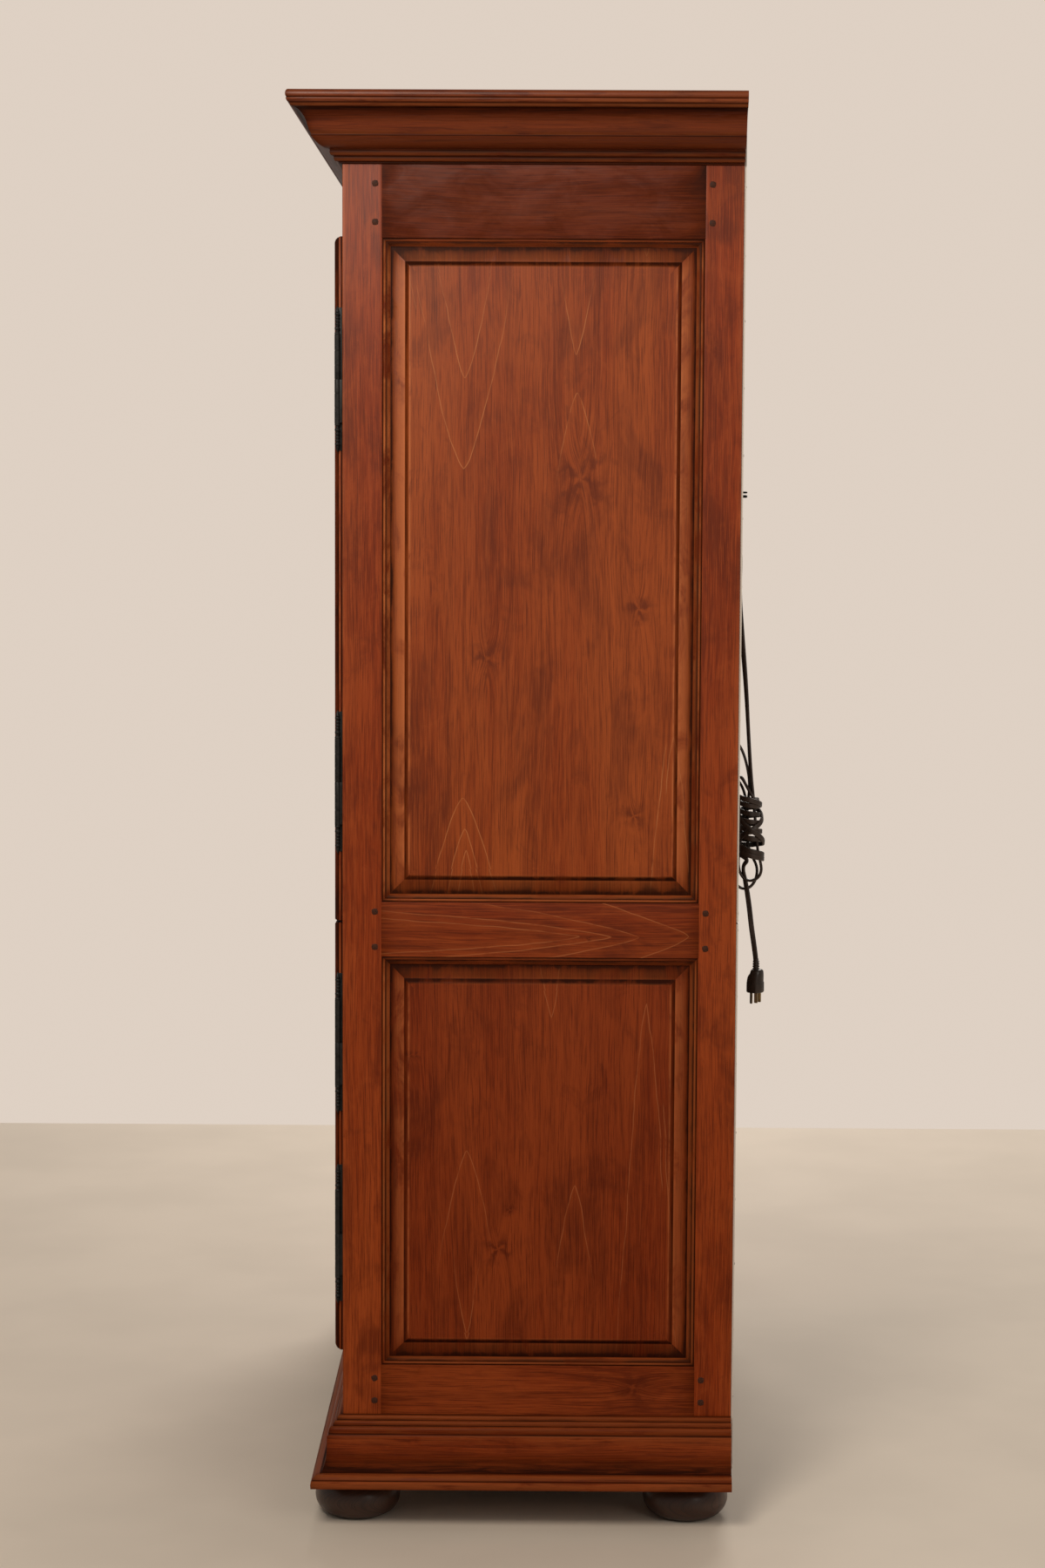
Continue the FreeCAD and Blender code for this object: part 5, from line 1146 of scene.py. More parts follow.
def make_nails():
    """Small round nails along the edges of the two back boards, laid by a node group."""
    t, lines, (wide, tall, spacing), values = part_group(
        "Nail rows", ("Head", "Across a nail's head", 4.2 * MM),
        ("Height", "How far a head stands off the board", 0.6 * MM),
        ("Spacing", "From nail to nail", 95 * MM))
    curve = t.add("GeometryNodeMeshToCurve", {"Mesh": lines})
    points = t.add("GeometryNodeCurveToPoints", {"Curve": curve, "Length": spacing},
                   mode="LENGTH")
    head = t.add("GeometryNodeMeshCone", {"Vertices": 14, "Radius Top": 0.34,
                                          "Radius Bottom": 0.5, "Depth": 1.0})
    sized = t.add("GeometryNodeTransform", {"Geometry": head, "Scale": t.vector(wide, wide, tall),
                                            "Rotation": (-math.pi / 2, 0.0, 0.0)})
    number = t.add("GeometryNodeInputIndex")
    shake = t.add("FunctionNodeRandomValue", {"Min": (-0.004, 0.0, -0.004),
                                              "Max": (0.004, 0.0, 0.004), "ID": number,
                                              "Seed": 11}, data_type="FLOAT_VECTOR")
    moved = t.add("GeometryNodeSetPosition", {"Geometry": points, "Offset": shake})
    places, inset = [], 9 * MM
    for node in BACK_BOARDS:
        low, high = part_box(node)
        x0, x1, z0, z1 = low.x + inset, high.x - inset, low.z + inset, high.z - inset
        for ends in (((x0, z0), (x1, z0)), ((x1, z0), (x1, z1)), ((x1, z1), (x0, z1)),
                     ((x0, z1), (x0, z0))):
            places += [(x, high.y + 0.28 * MM, z) for x, z in ends]
    edges = [(k, k + 1) for k in range(0, len(places), 2)]
    steel = finish("nail steel", bright_metal, (0.25, 0.24, 0.23), 300.0, 0.35, 0.55)
    mesh = laid(t, values, host_of("nail lines", places, edges), moved, sized, steel)
    settle("back nails", mesh, (steel,), "carcass", (), 40)


# ---------------------------------------------------------------- doors and ironwork

DOORS = (("upper_right", 1, "upper"), ("upper_left", -1, "upper"),
         ("lower_right", 1, "lower"), ("lower_left", -1, "lower"))


def round_inset(depth, radius):
    """How far a rounded edge lies in at a depth under its face."""
    return radius - math.sqrt(radius**2 - max(radius - depth, 0.0)**2)


# the rounded edge of a door from the lip to the face: depth and groove in mm, glaze and wear;
# the full glaze in the groove is painted shade, the wear at 7 to 8.6 mm a painted highlight along
# the edge
DOOR_EDGE = ((9.3, 0, 0.30, 0.1), (8.6, 0, 0.14, 0.6), (7.0, 0, 0.14, 0.7), (6.5, 0, 0.7, 0.1),
             (6.2, 0.5, 1.0, 0), (5.5, 0.5, 1.0, 0), (5.0, 0, 0.85, 0), (3.6, 0, 0.72, 0),
             (2.1, 0, 0.62, 0), (1.2, 0, 0.55, 0), (0.6, 0, 0.45, 0.05), (0.24, 0, 0.38, 0.05),
             (0, 0, 0.30, 0.1))
DOOR_THICK, DOOR_LIP = 22, 12  # mm


def make_door(which, hand, level):
    """Door frame with its rebated edge and rounded lip, raised panel and beads."""
    body, words = f"{which}_door", f"{which} door".replace("_", " ")
    low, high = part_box(f"{body}_frame")
    x0, x1 = sorted((abs(low.x), abs(high.x)))
    to_space = lambda u, v, depth: (hand * u, low.y + depth, v)
    panel_low, panel_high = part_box(f"{body}_panel")
    u0, u1 = sorted((abs(panel_low.x), abs(panel_high.x)))
    hole = (u0 + TONGUE, u1 - TONGUE, panel_low.z + TONGUE, panel_high.z - TONGUE)
    inner = (hole[0] - x0, x1 - hole[1], hole[2] - low.z, hole[2] - low.z)
    stile, hinge_stile, rail = inner[:3]
    thick, lip, soft = DOOR_THICK * MM, DOOR_LIP * MM, 0.4 * MM
    back = (0.0, 13.7 * MM, 15.5 * MM, 15.5 * MM)
    section = [(*inner, thick, 0.3, 0), (*back, thick, 0.15, 0), (*back, lip, 0.5, 0),
               (0.0, 1.3 * MM, 1.3 * MM, 1.3 * MM, lip, 0.25, 0), even(0, DOOR_LIP, 1.0),
               even(0, DOOR_LIP - 1.3, 1.0), even(0, DOOR_LIP - 2.0, 0.6)]
    # the edge is rounded over, less where two doors meet, with a fine groove along it
    radii = (9.5, 9.5, *((3, 11) if level == "upper" else (11, 3)))
    for depth, groove, glaze, worn in DOOR_EDGE:
        section.append((*((round_inset(depth, radius) + groove) * MM for radius in radii),
                        depth * MM, glaze, worn))
    section += [(11 * MM, 11 * MM, 12.5 * MM, 12.5 * MM, 0, 0.04, 0.1),
                (*(v - soft for v in inner), 0.0, 0.25, 0), (*inner, soft, 0.9, 0),
                (*inner, lip, 0.8, 0)]

    def stain(u, v, upright):
        """Rails are smudged dark where they meet the stiles."""
        near = max(0.0, min(u - (x0 + stile), x1 - hinge_stile - u))
        return 0.0 if upright else 0.9 * math.exp(-near / (8 * MM))
    stations = [x0 + stile + d * MM for d in (0, 4, 10, 20, 40, 90)]
    stations += [x1 - hinge_stile - d * MM for d in (90, 40, 20, 10, 4, 0)]
    piece = Piece(f"{words} frame")
    mitred(piece, to_space, (x0, x1, low.z, high.z), section,
           lambda u, v, side: u < x0 + stile or u > x1 - hinge_stile, stations,
           spread_stations(low.z, high.z, *(rail / MM + d for d in (0, 20, 60))), closed=True,
           seed=5.1 + 2.3 * hand + low.z, corner=0.2, stain=stain)
    piece.make((finish("door frame wood", glazed_wood, wood_tones(1.05), 52.0),), body,
               (f"{body}_frame",), "frame_wood", 26)
    make_panel(f"{words} panel", to_space, hole, body, f"{body}_panel", level)
    bead = Piece(f"{words} bead")
    add_bead(bead, to_space, hole)
    bead.make((bead_wood(),), body, (f"{body}_moulding",), "moulding_wood", 26)


FINIAL = [
    (0.03, 1.0), (0.03, 0.86), (0.07, 1.0, 0.11, 0.80), (0.13, 0.56), (0.17, 0.58),
    (0.24, 1.0, 0.31, 0.56), (0.34, 0.56), (0.38, 0.86, 0.43, 0.54), (0.45, 0.54),
    (0.49, 0.84, 0.54, 0.54), (0.56, 0.54), (0.60, 0.84, 0.65, 0.52), (0.67, 0.52),
    (0.73, 0.95, 0.79, 0.50), (0.80, 0.70), (0.83, 0.70), (0.93, 0.36, 1.0, 0.06)]


def finial_outline(radius, tall, base):
    """Radius and height of a hinge's turned tip, from the barrel's end outward."""
    points = [(radius, 0.0)]
    here = (0.0, 1.0)
    for step in FINIAL:
        if len(step) == 2:
            points.append((step[1] * radius, step[0] * tall))
        else:
            scale = tall / radius
            curve = through((here[0] * scale, here[1]), (step[0] * scale, step[1]),
                            (step[2] * scale, step[3]), 5)
            points += [(v * radius, u / scale * tall) for u, v in curve]
        here = step[-2:]
    points.append((0.0, tall))
    return [(r, base + h) for r, h in points]


# a hinge in mm: its barrel's radius and length, its turned tip, and half its leaves' length
BARREL, BARREL_LONG, TIP_LONG, LEAF_REACH = 4, 63.5, 43, 104.5
# the bent leaf of a door's half in mm, as left, right, front and back: in the rebate, round
# the door's edge, and on the barrel
DOOR_LEAF = ((589.2, 600.2, -281.9, -280.5), (600.2, 601.6, -288.9, -280.5),
             (600.9, 603.6, -288.9, -286.9))


def barrel(piece, at, way):
    """A hinge barrel with knuckle grooves and a turned tip; way is 1 up, -1 down."""
    outline = [(0.0, 0.2), (BARREL * 0.93, 0.2), (BARREL, 0.7)]
    for share in (0.32, 0.66):
        middle = share * BARREL_LONG
        outline += [(BARREL, middle - 0.6), (BARREL * 0.88, middle - 0.15),
                    (BARREL * 0.88, middle + 0.15), (BARREL, middle + 0.6)]
    outline.append((BARREL, BARREL_LONG - 0.6))
    turned(piece, at, (0, 0, way), outline + finial_outline(BARREL, TIP_LONG, BARREL_LONG))


def screw_head(piece, at, out, radius):
    """A flat screw head standing a hair out of its plate."""
    at, out = Vector(at), Vector(out)
    turned(piece, at - out * 0.2 * MM, out, [(0.0, 0.0), (radius, 0.0), (radius, 0.28),
                                             (radius * 0.82, 0.62), (0.0, 0.74)], 20)


def make_hinges(steel):
    """Long hinges with turned tips: one half on each door, one on the face frame."""
    def leaf(piece, xs, ys, zs, soft=0.35):
        (x0, x1), (y0, y1), (z0, z1) = (sorted(ends) for ends in (xs, ys, zs))
        board(piece, (x0, y0, z0), (x1, y1, z1), 2, soft * MM)
    frame_half = Piece("hinge frame halves")
    for which, hand, level in DOORS:
        door_half = Piece(f"{which} door hinges".replace("_", " "))
        for z in HINGE_LEVELS[level]:
            at = (hand * HINGE.x, HINGE.y, z)
            barrel(door_half, at, 1)
            for number, (x0, x1, y0, y1) in enumerate(DOOR_LEAF):
                low, high = (1, BARREL_LONG) if number == 2 else (-LEAF_REACH, LEAF_REACH)
                leaf(door_half, (hand * x0 * MM, hand * x1 * MM), (y0 * MM, y1 * MM),
                     (z + low * MM, z + high * MM))
            barrel(frame_half, at, -1)
            turned(frame_half, (at[0], at[1], z - 4 * MM), (0, 0, 1),
                   [(0.0, 0.0), (1.75, 0.0), (1.75, 54), (1.0, 56), (0.0, 56)], 14)
            leaf(frame_half, (hand * 589.2 * MM, hand * 609 * MM), (FRONT, FRONT + 1.4 * MM),
                 (z - LEAF_REACH * MM, z + LEAF_REACH * MM))
            leaf(frame_half, (at[0] - 1.1 * MM, at[0] + 1.1 * MM),
                 (HINGE.y + 2.2 * MM, FRONT + 0.5 * MM),
                 (z - BARREL_LONG * MM, z - 0.5 * MM), 0.3)
        door_half.make((steel,), f"{which}_door", (f"{which}_door_hinge_halves",),
                       "black_metal", 35)
    frame_half.make((steel,), "carcass", ("hinge_frame_halves",), "black_metal", 35)


def make_knobs(steel, plate):
    """A small turned knob on each door, and the strike plate of its catch."""
    radius, tall = 15, 27
    outline = [(0.0, 0.0), (0.72 * radius, 0.0)]
    here = (0.72, 0.0)
    for middle, after in (((0.70, 0.09), (0.46, 0.14)), ((0.33, 0.34), (0.46, 0.52)),
                          ((1.0, 0.72), (0.52, 0.96))):
        outline += [(u * radius, v * tall) for u, v in through(here, middle, after, 9)]
        here = after
    outline += [(0.30 * radius, 0.99 * tall), (0.0, tall)]
    for which, hand, level in DOORS:
        node = f"{which}_door_knob_and_strike"
        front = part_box(f"{which}_door_frame")[0].y
        piece = Piece(f"{which} door knob".replace("_", " "))
        at = (hand * 34.5 * MM, front, KNOB_LEVELS[level])
        turned(piece, at, (0, -1, 0), outline, 44)
        turned(piece, at, (0, 1, 0), [(0.0, -0.3), (2.4, -0.3), (2.4, 14.6), (0.0, 15)], 14)
        spans = sorted((hand * 14 * MM, hand * 54 * MM))
        top = STRIKE_LEVELS[level]
        board(piece, (spans[0], front + 22 * MM, top - 16 * MM),
              (spans[1], front + 23.5 * MM, top - 3 * MM), 0, 0.35 * MM, 1)
        piece.make((steel, plate), f"{which}_door", (node,), "black_metal", 35)


def make_outlets(shell, dark, face):
    """The switched outlet strip inside the back, its sockets laid by a node group."""
    low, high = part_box("outlet_strip")
    piece = Piece("outlet strip")
    board(piece, low, high, 0, 4.5 * MM)
    piece.make((shell,), "carcass", ("outlet_strip",), "strip_plastic", 40)
    t, points, (across,), values = part_group(
        "Outlet row", ("Socket", "Across a round socket face", 33 * MM))
    ring = t.add("GeometryNodeMeshCylinder", {"Vertices": 36, "Radius": 0.5, "Depth": 0.06})
    holes = [t.add("GeometryNodeTransform", {"Geometry": t.add(kind, sizes),
                                             "Translation": (*spot, 0.035)})
             for kind, sizes, spot in (
                 ("GeometryNodeMeshCube", {"Size": (0.07, 0.27, 0.02)}, (-0.19, 0.10)),
                 ("GeometryNodeMeshCube", {"Size": (0.07, 0.22, 0.02)}, (0.19, 0.10)),
                 ("GeometryNodeMeshCylinder", {"Vertices": 20, "Radius": 0.085, "Depth": 0.02},
                  (0.0, -0.24)))]
    rim, holes = (t.add("GeometryNodeSetMaterial", {"Geometry": shape, "Material": material})
                  for shape, material in ((ring, face), (t.joined(*holes), dark)))
    sized = t.add("GeometryNodeTransform", {
        "Geometry": t.joined(rim, holes), "Scale": t.vector(across, across, across),
        "Rotation": (math.pi / 2, 0.0, 0.0)})
    middle_z = (low.z + high.z) / 2
    places = host_of("socket places", [(low.x + (0.13 + 0.20 * k) * (high.x - low.x),
                                        low.y - 0.4 * MM, middle_z) for k in range(4)])
    mesh = laid(t, values, places, points, sized)
    settle("outlet faces", mesh, list(mesh.materials), "carcass", (), 35)
    rocker = Piece("strip switch")
    x = low.x + 0.90 * (high.x - low.x)
    board(rocker, (x - 11 * MM, low.y - 1.6 * MM, middle_z - 8 * MM),
          (x + 11 * MM, low.y + 2 * MM, middle_z + 8 * MM), 0, 1.4 * MM)
    rocker.make((dark,), "carcass", (), "black_plastic", 40)


def make_cord_hook(steel):
    """Plate and two prongs on the back that the wound cord can hang on."""
    low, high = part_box("cord_hook")
    x = (low.x + high.x) / 2
    piece = Piece("cord hook")
    plate_back = BACK_FACE + 3 * MM
    board(piece, (low.x, BACK_FACE, low.z), (high.x, plate_back, high.z), 2, 0.8 * MM)
    for z in (low.z + 5.5 * MM, high.z - 5.5 * MM):
        screw_head(piece, (x, plate_back, z), (0, 1, 0), 3.2)
    far = (high.y - plate_back) / MM
    for z, r in PRONGS:
        turned(piece, (x, plate_back - 1.5 * MM, z), (0, 1, 0),
               [(0.0, 0.0), (1.7 * r, 0.0), (1.55 * r, 2.0), (1.02 * r, 3.4),
                (r * 0.95, 0.5 * far), (r, far - 1.0), (r * 0.93, far), (r * 0.60, far + 1.1),
                (0.0, far + 1.5)], 24)
    piece.make((steel,), "carcass", ("cord_hook",), "black_metal", 35)


# ---------------------------------------------------------------- cord and plug


def smooth_line(points, name="route"):
    """Points along the one smooth spline that the control points pull into shape."""
    curve = bpy.data.curves.new(name, "CURVE")
    curve.dimensions = "3D"
    curve.resolution_u = 10
    spline = curve.splines.new("NURBS")
    spline.points.add(len(points) - 1)
    for point, place in zip(spline.points, points):
        point.co = (*place, 1.0)
    spline.order_u = 3
    spline.use_endpoint_u = True
    item = bpy.data.objects.new(name, curve)
    mesh = bpy.data.meshes.new_from_object(item)
    places = [vertex.co.copy() for vertex in mesh.vertices]
    bpy.data.objects.remove(item)
    return places


def flat_section(wide, thick):
    """Outline of a flat three-core cord: two shallow grooves on each side."""
    radius = thick / 2
    centres = (-(wide / 2 - radius), 0.0, wide / 2 - radius)
    top = []
    steps = 15
    for k in range(steps):
        x = -wide / 2 * math.cos(math.pi * k / (steps - 1))
        lifts = [math.sqrt(max(radius**2 - (x - c)**2, 0.0)) for c in centres]
        high = max(lifts)
        if abs(x) < centres[2]:
            high = max(high, radius * 0.80)
        top.append((x, high))
    return top + [(x, -y) for x, y in reversed(top[1:-1])]


def hank_axis(z):
    return Vector((-0.0210, 0.3655 + min(1.050 - z, 0.055) * 0.085, z))


def wound_hank():
    """Control points of the part of the cord that is wound round the hank."""
    points = []
    for step in range(round(HANK_TURNS[0][0] * 3), round(HANK_TURNS[-1][0] * 3) + 1):
        quarter = step / 3
        for (q0, z0, r0), (q1, z1, r1) in zip(HANK_TURNS, HANK_TURNS[1:]):
            if q0 <= quarter <= q1:
                share = (quarter - q0) / (q1 - q0)
                z, layer = (z0 + (z1 - z0) * share) * MM, r0 + (r1 - r0) * share
                axis = hank_axis(z)
                low = min(max((1.050 - z) / 0.06, 0.0), 1.0)
                wide = (21.0 + 4.5 * layer) * MM
                deep = (15.5 + 1.5 * low + 4.2 * layer) * MM
                angle = quarter * math.pi / 2
                points.append((axis.x + wide * math.cos(angle), axis.y + deep * math.sin(angle), z))
                break
    return points


def table_value(table, at):
    for (s0, a0), (s1, a1) in zip(table, table[1:]):
        if s0 <= at <= s1:
            share = (at - s0) / (s1 - s0)
            return a0 + (a1 - a0) * share * share * (3 - 2 * share)
    return table[-1][1]


def cord_frames(path, wound):
    """Direction, thin way, wide way and run at each point of the path. The flat cord lies
    on the hank between the two wound points; elsewhere the twists turn its flat side."""
    count = len(path)
    ways = [(path[min(i + 1, count - 1)] - path[max(i - 1, 0)]).normalized() for i in range(count)]
    runs = [0.0]
    for a, b in zip(path, path[1:]):
        runs.append(runs[-1] + (b - a).length)
    thins = []
    for i, (place, way, run) in enumerate(zip(path, ways, runs)):
        turn = (table_value(CORD_TWISTS, run) if i < wound[1]
                else table_value(TAIL_TWISTS, run - runs[-1]))
        sideways = Vector((1, 0, 0)) - way * way.x
        sideways = sideways.normalized() if sideways.length > 0.05 else Vector((0, 0, 1))
        free = Matrix.Rotation(math.radians(turn), 3, way) @ sideways
        outward = place - hank_axis(place.z)
        outward = (outward - way * outward.dot(way)).normalized()
        held = min(max(min(i - wound[0], wound[1] - i) / 15, 0.0), 1.0)
        if thins and free.dot(thins[-1]) < 0:
            free = -free
        if thins and outward.dot(thins[-1]) < 0:
            outward = -outward
        wanted = free * (1 - held) + outward * held
        thin = (thins[-1] if thins else wanted) * 0.86 + wanted * 0.14
        thins.append((thin - way * thin.dot(way)).normalized())
    frames = []
    for i in range(count):
        total = sum((thins[k] for k in range(max(0, i - 5), min(count, i + 13))), Vector((0, 0, 0)))
        thin = (total - ways[i] * total.dot(ways[i])).normalized()
        frames.append((ways[i], thin, ways[i].cross(thin), runs[i]))
    return frames


def loft(piece, rings, grain_at=lambda i, k: (i * MM, k * MM)):
    """Joins rings of equally many places, and closes both ends."""
    rows = []
    for i, ring in enumerate(rings):
        rows.append([(place, grain_at(i, k), 0.0, 0.0)
                     for k, place in enumerate((*ring, ring[0]))])
    for row, row2 in zip(rows, rows[1:]):
        piece.strip(row, row2)
    for ring in (rings[0], rings[-1]):
        piece.face(ring, [(p[0], p[2]) for p in ring])


def make_cord(fittings):
    """The flat power cord: out of its relief, down the back, wound into a tied hank, and
    on to its three-pin plug."""
    before, wrapped = CORD_DROP + CORD_LOOPS, wound_hank()
    path = smooth_line(before + wrapped + CORD_TAIL)
    per_point = (len(path) - 1) / (len(before + wrapped + CORD_TAIL) - 2)
    frames = cord_frames(path, (round((len(before) - 0.5) * per_point),
                                round((len(before + wrapped) - 0.5) * per_point)))
    section = flat_section(fittings.cord_width, fittings.cord_thick)
    piece = Piece("power cord")
    rings = [[place + wide * x + thin * y for x, y in section]
             for place, (way, thin, wide, run) in zip(path, frames)]
    round_it = [0.0]
    for a, b in zip(section, section[1:] + section[:1]):
        round_it.append(round_it[-1] + math.hypot(b[0] - a[0], b[1] - a[1]))
    loft(piece, rings, lambda i, k: (frames[i][3], round_it[k]))
    vinyl = finish("cord vinyl", cord_vinyl, tuple(fittings.cord_brown))
    plastic = finish("plug plastic", moulded_plastic, tuple(1.1 * c for c in fittings.cord_brown),
                     0.28)
    brass = finish("blade brass", bright_metal, (0.86, 0.70, 0.44), 420.0, 0.30, 0.44)
    pin = finish("earth pin metal", bright_metal, (0.16, 0.12, 0.08), 300.0, 0.28, 0.42)
    cord = piece.make((vinyl,), "carcass", ("cord_drop", "cord_hank", "cord_tail"),
                      "cord_vinyl", 50)
    relief = make_relief(path, frames, plastic)
    plug, blades = make_plug(fittings, plastic, brass, pin)
    long = sum((b - a).length for a, b in zip(path, path[1:]))
    [tuple(p) for p in path]


def make_relief(path, frames, plastic):
    """Ribbed, tapered relief that carries the cord out of the back board."""
    piece = Piece("cord relief")
    start = Vector((CORD_EXIT[0], BACK_FACE, CORD_EXIT[2]))
    turned(piece, start - Vector((0, 5 * MM, 0)), (0, 1, 0),
           [(0.0, 0.0), (7.6, 0.0), (7.6, 5.05), (12.0, 5.05), (12.0, 6.4), (11.2, 7.2),
            (8.6, 7.6), (0.0, 7.8)], 40)
    rings = []
    total = 25 * MM
    for place, (way, thin, wide, run) in zip(path, frames):
        if run > total:
            break
        share = run / total
        rib = 0.35 * MM * math.cos(2 * math.pi * run / (4.1 * MM))
        a = (7.4 - 2.2 * share) * MM + rib
        b = (6.6 - 3.6 * share) * MM + rib
        rings.append([place + wide * a * math.cos(2 * math.pi * k / 28)
                      + thin * b * math.sin(2 * math.pi * k / 28) for k in range(28)])
    if len(rings) < 14:
        # the spline's own points are few here, so rings are set between them
        fine = []
        for one, two in zip(rings, rings[1:]):
            fine += [one, [(a + b) / 2 for a, b in zip(one, two)]]
        rings = fine + rings[-1:]
    loft(piece, rings)
    return piece.make((plastic,), "carcass", ("cord_bushing",), "black_plastic", 40)


def make_plug(fittings, plastic, brass, pin):
    """Moulded three-pin plug: ribbed neck, widening body, a lobe over the earth pin."""
    centre = Vector(PLUG_CENTRE)
    turn = fittings.plug_turn
    across = Vector((math.cos(turn), math.sin(turn), 0))
    outward = Vector((math.sin(turn), -math.cos(turn), 0))

    def place(a, b, z):
        spot = centre + across * a * MM + outward * b * MM
        return Vector((spot.x, spot.y, z * MM))
    piece = Piece("plug")
    sides = 36

    def ring(z, half_a, front, back, power):
        spots = []
        for k in range(sides):
            angle = 2 * math.pi * k / sides
            c, s = math.cos(angle), math.sin(angle)
            a = half_a * math.copysign(abs(c) ** (2 / power), c)
            b = (front if s > 0 else back) * math.copysign(abs(s) ** (2 / power), s)
            spots.append(place(a, b, z))
        return spots
    loft(piece, [ring(z, size, size * 0.86, size * 0.86, 2.1) for z, size in NECK_RIBS])
    loft(piece, [ring(z, a, f, b, 2.6) for z, a, f, b in PLUG_BODY])
    plug = piece.make((plastic,), "carcass", ("plug",), "brown_plastic", 40)
    metal = Piece("plug pins")
    for side in (-1, 1):
        spots = []
        for z, wide, thick in ((PLUG_FACE + 3, 3.15, 0.75), (703.6, 3.15, 0.75),
                               (702.6, 2.3, 0.45)):
            spots.append([place(side * 6.35 + t, -3.6 + w, z) for t, w in
                          ((-thick, -wide), (thick, -wide), (thick, wide), (-thick, wide))])
        loft(metal, spots)
    start = PLUG_FACE + 3
    turned(metal, place(0, EARTH_OUT, start), (0, 0, -1),
           [(0.0, 0.0), (2.4, 0.0), (2.4, start - 701.4), (1.9, start - 700.1),
            (1.0, start - 699.5), (0.0, start - 699.3)], 20, slot=1)
    blades = metal.make((brass, pin), "carcass", ("plug_blades",), "blade_brass", 35)
    return plug, blades


# ---------------------------------------------------------------- operators


class Dress(bpy.types.Operator):
    """Shared parts of the armoire's operators"""
    bl_options = {"REGISTER", "UNDO"}

    def execute(self, context):
        self.build(context.scene)
        return {"FINISHED"}


class ARMOIRE_OT_sides(Dress):
    """Stiles, rails, raised panels and beads of both sides"""
    bl_idname = "armoire.sides"
    bl_label = "Sides"

    def build(self, scene):
        for hand in (1, -1):
            make_side(hand, scene.armoire_wood)


class ARMOIRE_OT_pegs(Dress):
    """Dark pegs through the joints of the sides"""
    bl_idname = "armoire.pegs"
    bl_label = "Pegs"

    def build(self, scene):
        make_pegs()


class ARMOIRE_OT_mouldings(Dress):
    """Cornice, base moulding and turned feet"""
    bl_idname = "armoire.mouldings"
    bl_label = "Cornice, base and feet"

    def build(self, scene):
        make_mouldings()
        make_feet()


class ARMOIRE_OT_inside(Dress):
    """Front rails, boards, shelves, shelf pins and back boards"""
    bl_idname = "armoire.inside"
    bl_label = "Case boards and backs"

    def build(self, scene):
        make_front_frame(scene.armoire_wood)
        make_inside(scene.armoire_wood)
        make_nails()
        repaint("shelf_pins", finish("shelf pin steel", bright_metal, (0.42, 0.41, 0.40)))


class ARMOIRE_OT_doors(Dress):
    """Four doors with rounded edges, raised panels and beads"""
    bl_idname = "armoire.doors"
    bl_label = "Doors"

    def build(self, scene):
        for which, hand, level in DOORS:
            make_door(which, hand, level)


class ARMOIRE_OT_ironwork(Dress):
    """Hinges with turned tips, knobs, strikes and catches"""
    bl_idname = "armoire.ironwork"
    bl_label = "Hinges and knobs"

    def build(self, scene):
        tone = tuple(scene.armoire_fittings.hinge_black)
        steel = finish("hinge black", blackened_steel, tone)
        plate = finish("strike steel", bright_metal, (0.38, 0.37, 0.36), 500.0, 0.3, 0.5)
        make_hinges(steel)
        make_knobs(steel, plate)
        repaint("door_catches", finish("catch plastic", moulded_plastic, (0.032, 0.018, 0.011)))


class ARMOIRE_OT_outlets(Dress):
    """Outlet strip inside the back"""
    bl_idname = "armoire.outlets"
    bl_label = "Outlet strip"

    def build(self, scene):
        shell = finish("strip plastic", moulded_plastic, (0.040, 0.034, 0.030))
        dark = finish("socket dark", moulded_plastic, (0.012, 0.011, 0.010), 0.5)
        face = finish("socket face", moulded_plastic, (0.210, 0.190, 0.165), 0.42)
        make_outlets(shell, dark, face)


class ARMOIRE_OT_cord(Dress):
    """Power cord with its relief, hank and plug, and the hook over it"""
    bl_idname = "armoire.cord"
    bl_label = "Power cord"

    def build(self, scene):
        make_cord(scene.armoire_fittings)
        make_cord_hook(finish("hinge black", blackened_steel,
                              tuple(scene.armoire_fittings.hinge_black)))


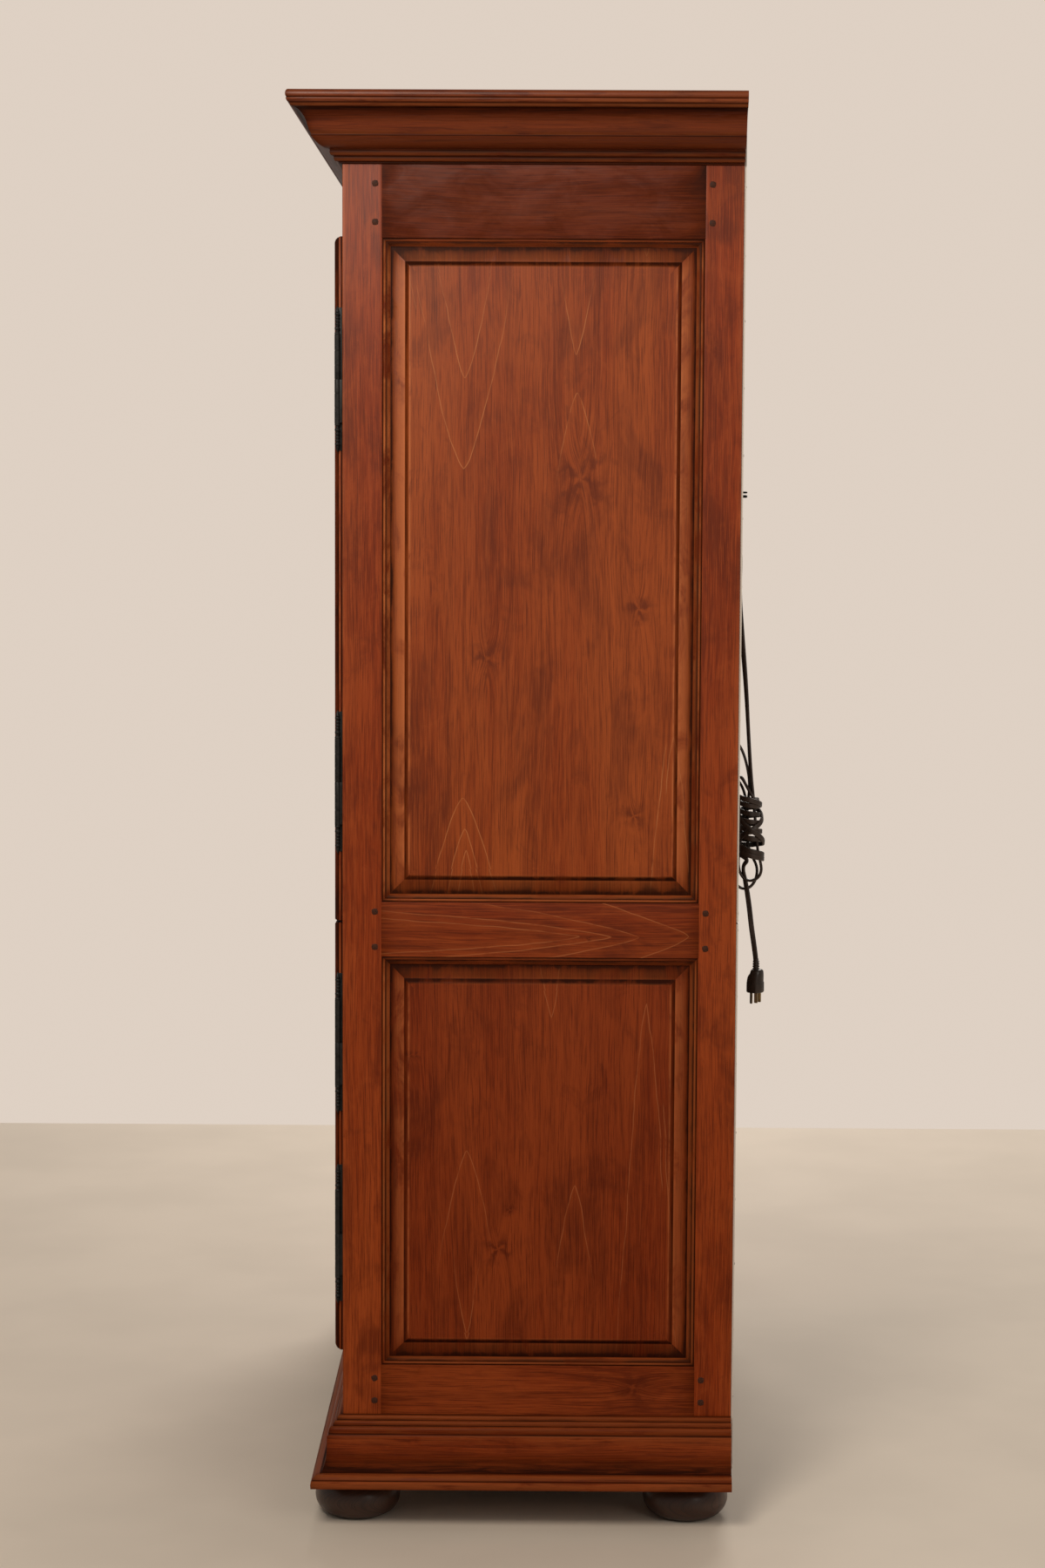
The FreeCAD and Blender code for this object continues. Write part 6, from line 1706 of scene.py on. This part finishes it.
class ARMOIRE_OT_stage(Dress):
    """Pale floor, plain soft light and the camera"""
    bl_idname = "armoire.stage"
    bl_label = "Stage"

    def build(self, scene):
        stage = scene.armoire_stage
        scene.view_settings.view_transform = "Standard"
        ground = bpy.data.meshes.new("floor")
        ground.from_pydata([(-2.41, -5, 0), (7, -5, 0), (7, 5, 0), (-2.41, 5, 0)], [],
                           [range(4)])
        t = Finish("floor")
        base = t.blend(t.between(t.noise(t.place(), 3.0, 3.0), 0.3, 0.7),
                       scaled(stage.floor, 0.97), scaled(stage.floor, 1.03))
        ground.materials.append(t.done(base=base, rough=0.75, specular=0.2))
        item = bpy.data.objects.new("floor", ground)
        scene.collection.objects.link(item)
        world = bpy.data.worlds.new("studio")
        scene.world = world
        world.use_nodes = True
        w = Tree(world.node_tree)
        background = next(n for n in world.node_tree.nodes if n.type == "BACKGROUND")
        w.add("ShaderNodeLightPath")
        rays = w.last.outputs
        seen = w.math("MAXIMUM", rays["Is Camera Ray"], w.times(rays["Is Glossy Ray"], 0.10))
        seen = w.math("MAXIMUM", seen, rays["Is Transmission Ray"])
        shade = w.blend(seen, (0.62, 0.58, 0.53), tuple(stage.wall))
        world.node_tree.links.new(shade, background.inputs[0])
        strength = w.between(seen, 0.0, 0.5, 0.36, 1.0, smooth=False)
        world.node_tree.links.new(strength, background.inputs[1])
        for name, spot, aim, size, power, tone in (
                ("key lamp", (3.0, -0.8, 2.85), (0.5, 0, 1.3), 1.2, 60, (1.0, 0.925, 0.81)),
                ("fill lamp", (4.2, 2.6, 2.6), (0.3, 0.1, 1.1), 2.2, 31, (1.0, 0.93, 0.83)),
                ("far lamp", (-3.4, 0.6, 3.4), (-1.2, 0, 0.3), 2.6, 120, (1.0, 0.95, 0.88))):
            lamp = bpy.data.lights.new(name, "AREA")
            lamp.shape, lamp.size, lamp.energy, lamp.color = "DISK", size, power, tone
            holder = bpy.data.objects.new(name, lamp)
            holder.location = spot
            holder.rotation_euler = (Vector(aim) - Vector(spot)).to_track_quat("-Z", "Y").to_euler()
            scene.collection.objects.link(holder)
        place_camera(scene, stage)


def place_camera(scene, stage):
    """The camera looks at the right side, a touch down and from behind its middle."""
    yaw, pitch, roll = (math.radians(a) for a in (0.45, -5.14, 0.28))
    ahead = Vector((-math.cos(pitch) * math.cos(yaw), -math.cos(pitch) * math.sin(yaw),
                    math.sin(pitch)))
    right = ahead.cross(Vector((0, 0, 1))).normalized()
    up = right.cross(ahead)
    right2 = right * math.cos(roll) + up * math.sin(roll)
    up2 = up * math.cos(roll) - right * math.sin(roll)
    lens = bpy.data.cameras.new("camera")
    lens.lens, lens.sensor_width, lens.sensor_fit = stage.lens, 36.0, "AUTO"
    camera = bpy.data.objects.new("camera", lens)
    turn = Matrix((right2, up2, -ahead)).transposed().to_4x4()
    camera.matrix_world = Matrix.Translation(
        (stage.camera_out, stage.camera_back, stage.camera_high)) @ turn
    scene.collection.objects.link(camera)
    scene.camera = camera


class ARMOIRE_PT_panel(bpy.types.Panel):
    """Sizes, colours and steps of the armoire"""
    bl_idname = "ARMOIRE_PT_panel"
    bl_label = "Armoire"
    bl_space_type = "VIEW_3D"
    bl_region_type = "UI"
    bl_category = "Armoire"

    def draw(self, context):
        for group in (context.scene.armoire_wood, context.scene.armoire_fittings,
                      context.scene.armoire_stage):
            box = self.layout.box()
            for name in group.bl_rna.properties.keys():
                if name not in ("rna_type", "name"):
                    box.prop(group, name)
        for step in STEPS:
            self.layout.operator(step.bl_idname)


STEPS = (ARMOIRE_OT_stage, ARMOIRE_OT_cord, ARMOIRE_OT_sides, ARMOIRE_OT_pegs,
         ARMOIRE_OT_mouldings, ARMOIRE_OT_inside, ARMOIRE_OT_doors, ARMOIRE_OT_ironwork,
         ARMOIRE_OT_outlets)
GROUPS = (("armoire_wood", ArmoireWood), ("armoire_fittings", ArmoireFittings),
          ("armoire_stage", ArmoireStage))


def register():
    for name, group in GROUPS:
        bpy.utils.register_class(group)
        setattr(bpy.types.Scene, name, bpy.props.PointerProperty(type=group))
    for step in STEPS:
        bpy.utils.register_class(step)
    bpy.utils.register_class(ARMOIRE_PT_panel)


def unregister():
    bpy.utils.unregister_class(ARMOIRE_PT_panel)
    for step in reversed(STEPS):
        bpy.utils.unregister_class(step)
    for name, group in reversed(GROUPS):
        delattr(bpy.types.Scene, name)
        bpy.utils.unregister_class(group)


def main():
    register()
    for step in STEPS:
        if getattr(bpy.ops.armoire, step.bl_idname.split(".")[1])() != {"FINISHED"}:
            raise RuntimeError(f"{step.bl_label} did not finish")


if __name__ == "__main__":
    main()
